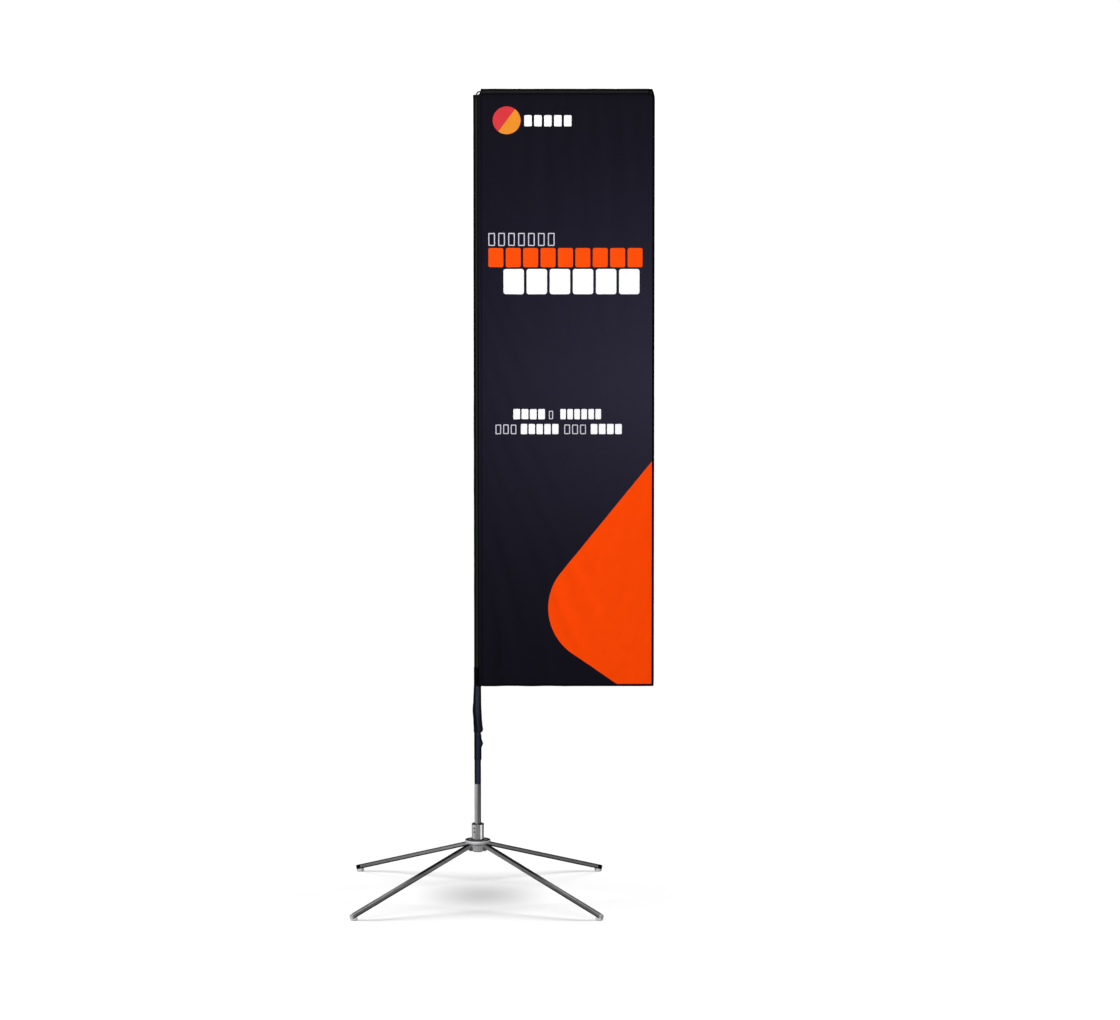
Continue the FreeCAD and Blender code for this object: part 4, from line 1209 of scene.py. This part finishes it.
CLOTH_SHINE = {"Specular_IOR_Level": 0.04, "Sheen_Weight": 0.01, "Sheen_Roughness": 0.5}
SATIN = {"Specular_IOR_Level": 0.06}
EDGE = 0.5 * MM
CURVE_CENTRE = (424.4 * MM, 977.0 * MM)
CURVE_RADIUS = 188.6 * MM
UPPER_SIDE = math.radians(141.1)
LOWER_SIDE = math.radians(235.3)
DISC_CENTRE = (99.0 * MM, 2608.0 * MM)
DISC_RADIUS = 46.0 * MM


def bar_row(tree, x, z, left, right, low, high, count, gap, corner, stroke=0.0):
    """A row of plain round-cornered blocks, or of outlines where a stroke is given."""
    pitch = (right - left + gap) / count
    width, height = pitch - gap, high - low
    cell = times(tree, calc(tree, "FRACT", calc(tree, "DIVIDE", minus(tree, x, left), pitch)), pitch)
    off_x = calc(tree, "ABSOLUTE", minus(tree, cell, width / 2.0))
    off_z = calc(tree, "ABSOLUTE", minus(tree, z, (low + high) / 2.0))
    over_x = most(tree, minus(tree, off_x, width / 2.0 - corner), 0.0)
    over_z = most(tree, minus(tree, off_z, height / 2.0 - corner), 0.0)
    far = far_from(tree, over_x, over_z)
    fill = remap(tree, far, corner - EDGE, corner + EDGE, 1.0, 0.0)
    if stroke:
        inside_x = minus(tree, width / 2.0 - stroke, off_x)
        inside_z = minus(tree, height / 2.0 - stroke, off_z)
        hollow = remap(tree, calc(tree, "MINIMUM", inside_x, inside_z), -EDGE, EDGE)
        fill = calc(tree, "SUBTRACT", fill, hollow, clamp=True)
    reach = calc(tree, "ABSOLUTE", minus(tree, x, (left + right) / 2.0))
    half_row = (right - left) / 2.0
    return times(tree, fill, remap(tree, reach, half_row, half_row + EDGE, 1.0, 0.0))


def union(tree, parts):
    total = parts[0]
    for part in parts[1:]:
        total = most(tree, total, part)
    return total


def orange_shape(tree, x, z):
    """The large orange shape: two straight sides that meet in a wide round corner."""
    from_x = minus(tree, x, CURVE_CENTRE[0])
    from_z = minus(tree, z, CURVE_CENTRE[1])

    def side(angle, reach):
        sum_of = calc(tree, "MULTIPLY_ADD", from_x, math.cos(angle), times(tree, from_z, math.sin(angle)))
        return minus(tree, sum_of, reach)

    middle = (UPPER_SIDE + LOWER_SIDE) / 2.0
    chord = side(middle, CURVE_RADIUS * math.cos(UPPER_SIDE - middle))
    circle = minus(tree, far_from(tree, from_x, from_z), CURVE_RADIUS)
    straight_sides = most(tree, side(UPPER_SIDE, CURVE_RADIUS), side(LOWER_SIDE, CURVE_RADIUS))
    far = most(tree, straight_sides, calc(tree, "MINIMUM", chord, circle))
    return remap(tree, far, -EDGE, EDGE, 1.0, 0.0)


def disc(tree, x, z, centre, radius):
    from_x = minus(tree, x, centre[0])
    from_z = minus(tree, z, centre[1])
    return remap(tree, far_from(tree, from_x, from_z), radius - EDGE, radius + EDGE, 1.0, 0.0)


PRINT_GAIN = 1.19
FIELD_GAIN = 0.93


def ink(red, green, blue, gain=PRINT_GAIN):
    return tone(red, green, blue, gain)


def field_ink(red, green, blue):
    return tone(red, green, blue, FIELD_GAIN)


def field_colour(tree, x, z):
    """The dark field: near black at both ends and violet grey in the middle, palest by the free edge."""
    height = remap(tree, z, FLAG_BOTTOM, FLAG_TOP, kind="LINEAR")
    by_pole = ramp(tree, height, (
        (0.0, field_ink(19, 18, 27)), (0.2, field_ink(23, 21, 32)),
        (0.46, field_ink(34, 32, 46)), (0.58, field_ink(33, 31, 45)),
        (0.8, field_ink(25, 22, 35)), (1.0, field_ink(21, 20, 27)),
    ))
    by_edge = ramp(tree, height, (
        (0.0, field_ink(19, 18, 27)), (0.22, field_ink(28, 26, 38)),
        (0.44, field_ink(50, 47, 64)), (0.58, field_ink(49, 47, 64)),
        (0.8, field_ink(30, 28, 42)), (1.0, field_ink(22, 21, 30)),
    ))
    return mix(tree, remap(tree, x, 0.0, FREE_EDGE, kind="LINEAR"), by_pole, by_edge)


def printed_cloth():
    """Printed knitted polyester: the field, the orange shape, a plain disc and rows of plain blocks, with
    painted light on the heading.
    """
    item, tree, shader = finish("printed_cloth", **CLOTH_SHINE)
    x, _, z = split(tree, place(tree))
    # painted light: the heading, which turns away from the front, is painted 1.9 times brighter than the flat
    # panel
    heading_painted_light = remap(tree, x, 15.4 * MM, 16.2 * MM, 1.9, 1.0)
    field = node(tree, "HueSaturation")
    feed(tree, field.inputs["Color"], field_colour(tree, x, z))
    feed(tree, field.inputs["Value"], heading_painted_light)
    colour = field.outputs[0]
    colour = mix(tree, orange_shape(tree, x, z), colour, ink(250, 70, 2))

    def row(left, right, low, high, count, gap, corner, stroke=0.0):
        sizes = (left, right, low, high)
        return bar_row(tree, x, z, *(size * MM for size in sizes), count, gap * MM, corner * MM, stroke * MM)

    bold_orange = row(38, 548, 2120, 2184, 9, 8, 6)
    colour = mix(tree, bold_orange, colour, ink(246, 76, 8))
    thin = [
        row(38, 257, 2191, 2234, 7, 11, 3, 3.2),
        row(238, 252, 1612, 1640, 1, 4, 3, 3.0),
        row(61, 130, 1562, 1594, 3, 7, 3, 3.0),
        row(289, 361, 1562, 1594, 3, 7, 3, 3.0),
    ]
    colour = mix(tree, union(tree, thin), colour, ink(205, 203, 214))
    bold = [
        row(157, 313, 2588, 2625, 5, 8, 4),
        row(88, 538, 2030, 2114, 6, 9, 8),
        row(120, 225, 1612, 1646, 4, 5, 3),
        row(276, 411, 1612, 1646, 6, 5, 3),
        row(145, 270, 1562, 1596, 5, 5, 3),
        row(377, 480, 1562, 1596, 4, 5, 3),
    ]
    colour = mix(tree, union(tree, bold), colour, ink(248, 248, 250))
    slant = plus(tree, times(tree, x, 0.8), times(tree, z, -0.6))
    halfway = DISC_CENTRE[0] * 0.8 - DISC_CENTRE[1] * 0.6
    second_half = remap(tree, slant, halfway - EDGE, halfway + EDGE)
    halves = mix(tree, second_half, ink(205, 54, 60), ink(222, 136, 40))
    colour = mix(tree, disc(tree, x, z, DISC_CENTRE, DISC_RADIUS), colour, halves)
    normal, height = weave(tree, 1.3 * MM, 1.1 * MM, 0.07 * MM, 0.1)
    worn = grain(tree, place(tree), 24.0, 4.0, 0.6)
    shade = calc(tree, "MULTIPLY_ADD", height, 0.06, remap(tree, worn, 0.25, 0.75, 0.95, 1.0))
    hue = node(tree, "HueSaturation")
    feed(tree, hue.inputs["Color"], colour)
    feed(tree, hue.inputs["Value"], shade)
    coat(tree, shader, hue.outputs[0], remap(tree, height, 0.0, 1.0, 0.95, 0.82), normal)
    return item


def thread():
    item, tree, shader = finish("sewing_thread", Specular_IOR_Level=0.25)
    twist = grain(tree, place(tree), 1500.0, 2.0)
    colour = mix(tree, twist, tone(10, 10, 12), tone(34, 34, 38))
    coat(tree, shader, colour, remap(tree, twist, 0.3, 0.7, 0.5, 0.7), bumped(tree, twist, 0.05 * MM, 0.5))
    return item


def make_cloth():
    ripple = Ripple()
    printed = printed_cloth()
    sizes = (1.0 * MM, 0.9 * MM, 0.05 * MM, 0.55)
    sleeve_black = woven("sleeve_polyester", tone(2, 2, 2), *sizes, worn=sleeve_painted_highlight, **SATIN)
    arm_black = woven("arm_polyester", tone(2, 2, 2), *sizes, worn=arm_painted_light, **SATIN)
    tape_black = woven("binding_polyester", tone(3, 3, 3), 0.9 * MM, 1.6 * MM, 0.08 * MM, **CLOTH_SHINE)
    patch_black = woven("patch_polyester", tone(3, 3, 4), 1.0 * MM, 0.9 * MM, 0.06 * MM, **CLOTH_SHINE)
    # the tail and the strap get painted shade where they turn away
    navy = {"worn": round_painted_shade, "Specular_IOR_Level": 0.07}
    tail_navy = woven("tail_polyester", tone(44, 47, 62), 1.0 * MM, 0.9 * MM, 0.06 * MM, 0.5, **navy)
    strap_navy = woven("strap_webbing", tone(33, 40, 58), 2.0 * MM, 1.2 * MM, 0.16 * MM, 0.5, **navy)
    sewn = thread()
    panel = make_panel(ripple, printed)
    joined = [
        make_edge_tape(ripple, tape_black),
        make_heading(printed),
        make_pole_sleeve(sleeve_black),
        make_sleeve_patch(patch_black),
        make_arm_sleeve(arm_black),
        make_corner_patch(tape_black),
        make_tail(tail_navy),
        make_strap(strap_navy),
    ]
    joined += make_stitching(ripple, sewn)


set_camera()
set_lights(make_floor())
dress_frame()
make_cloth()
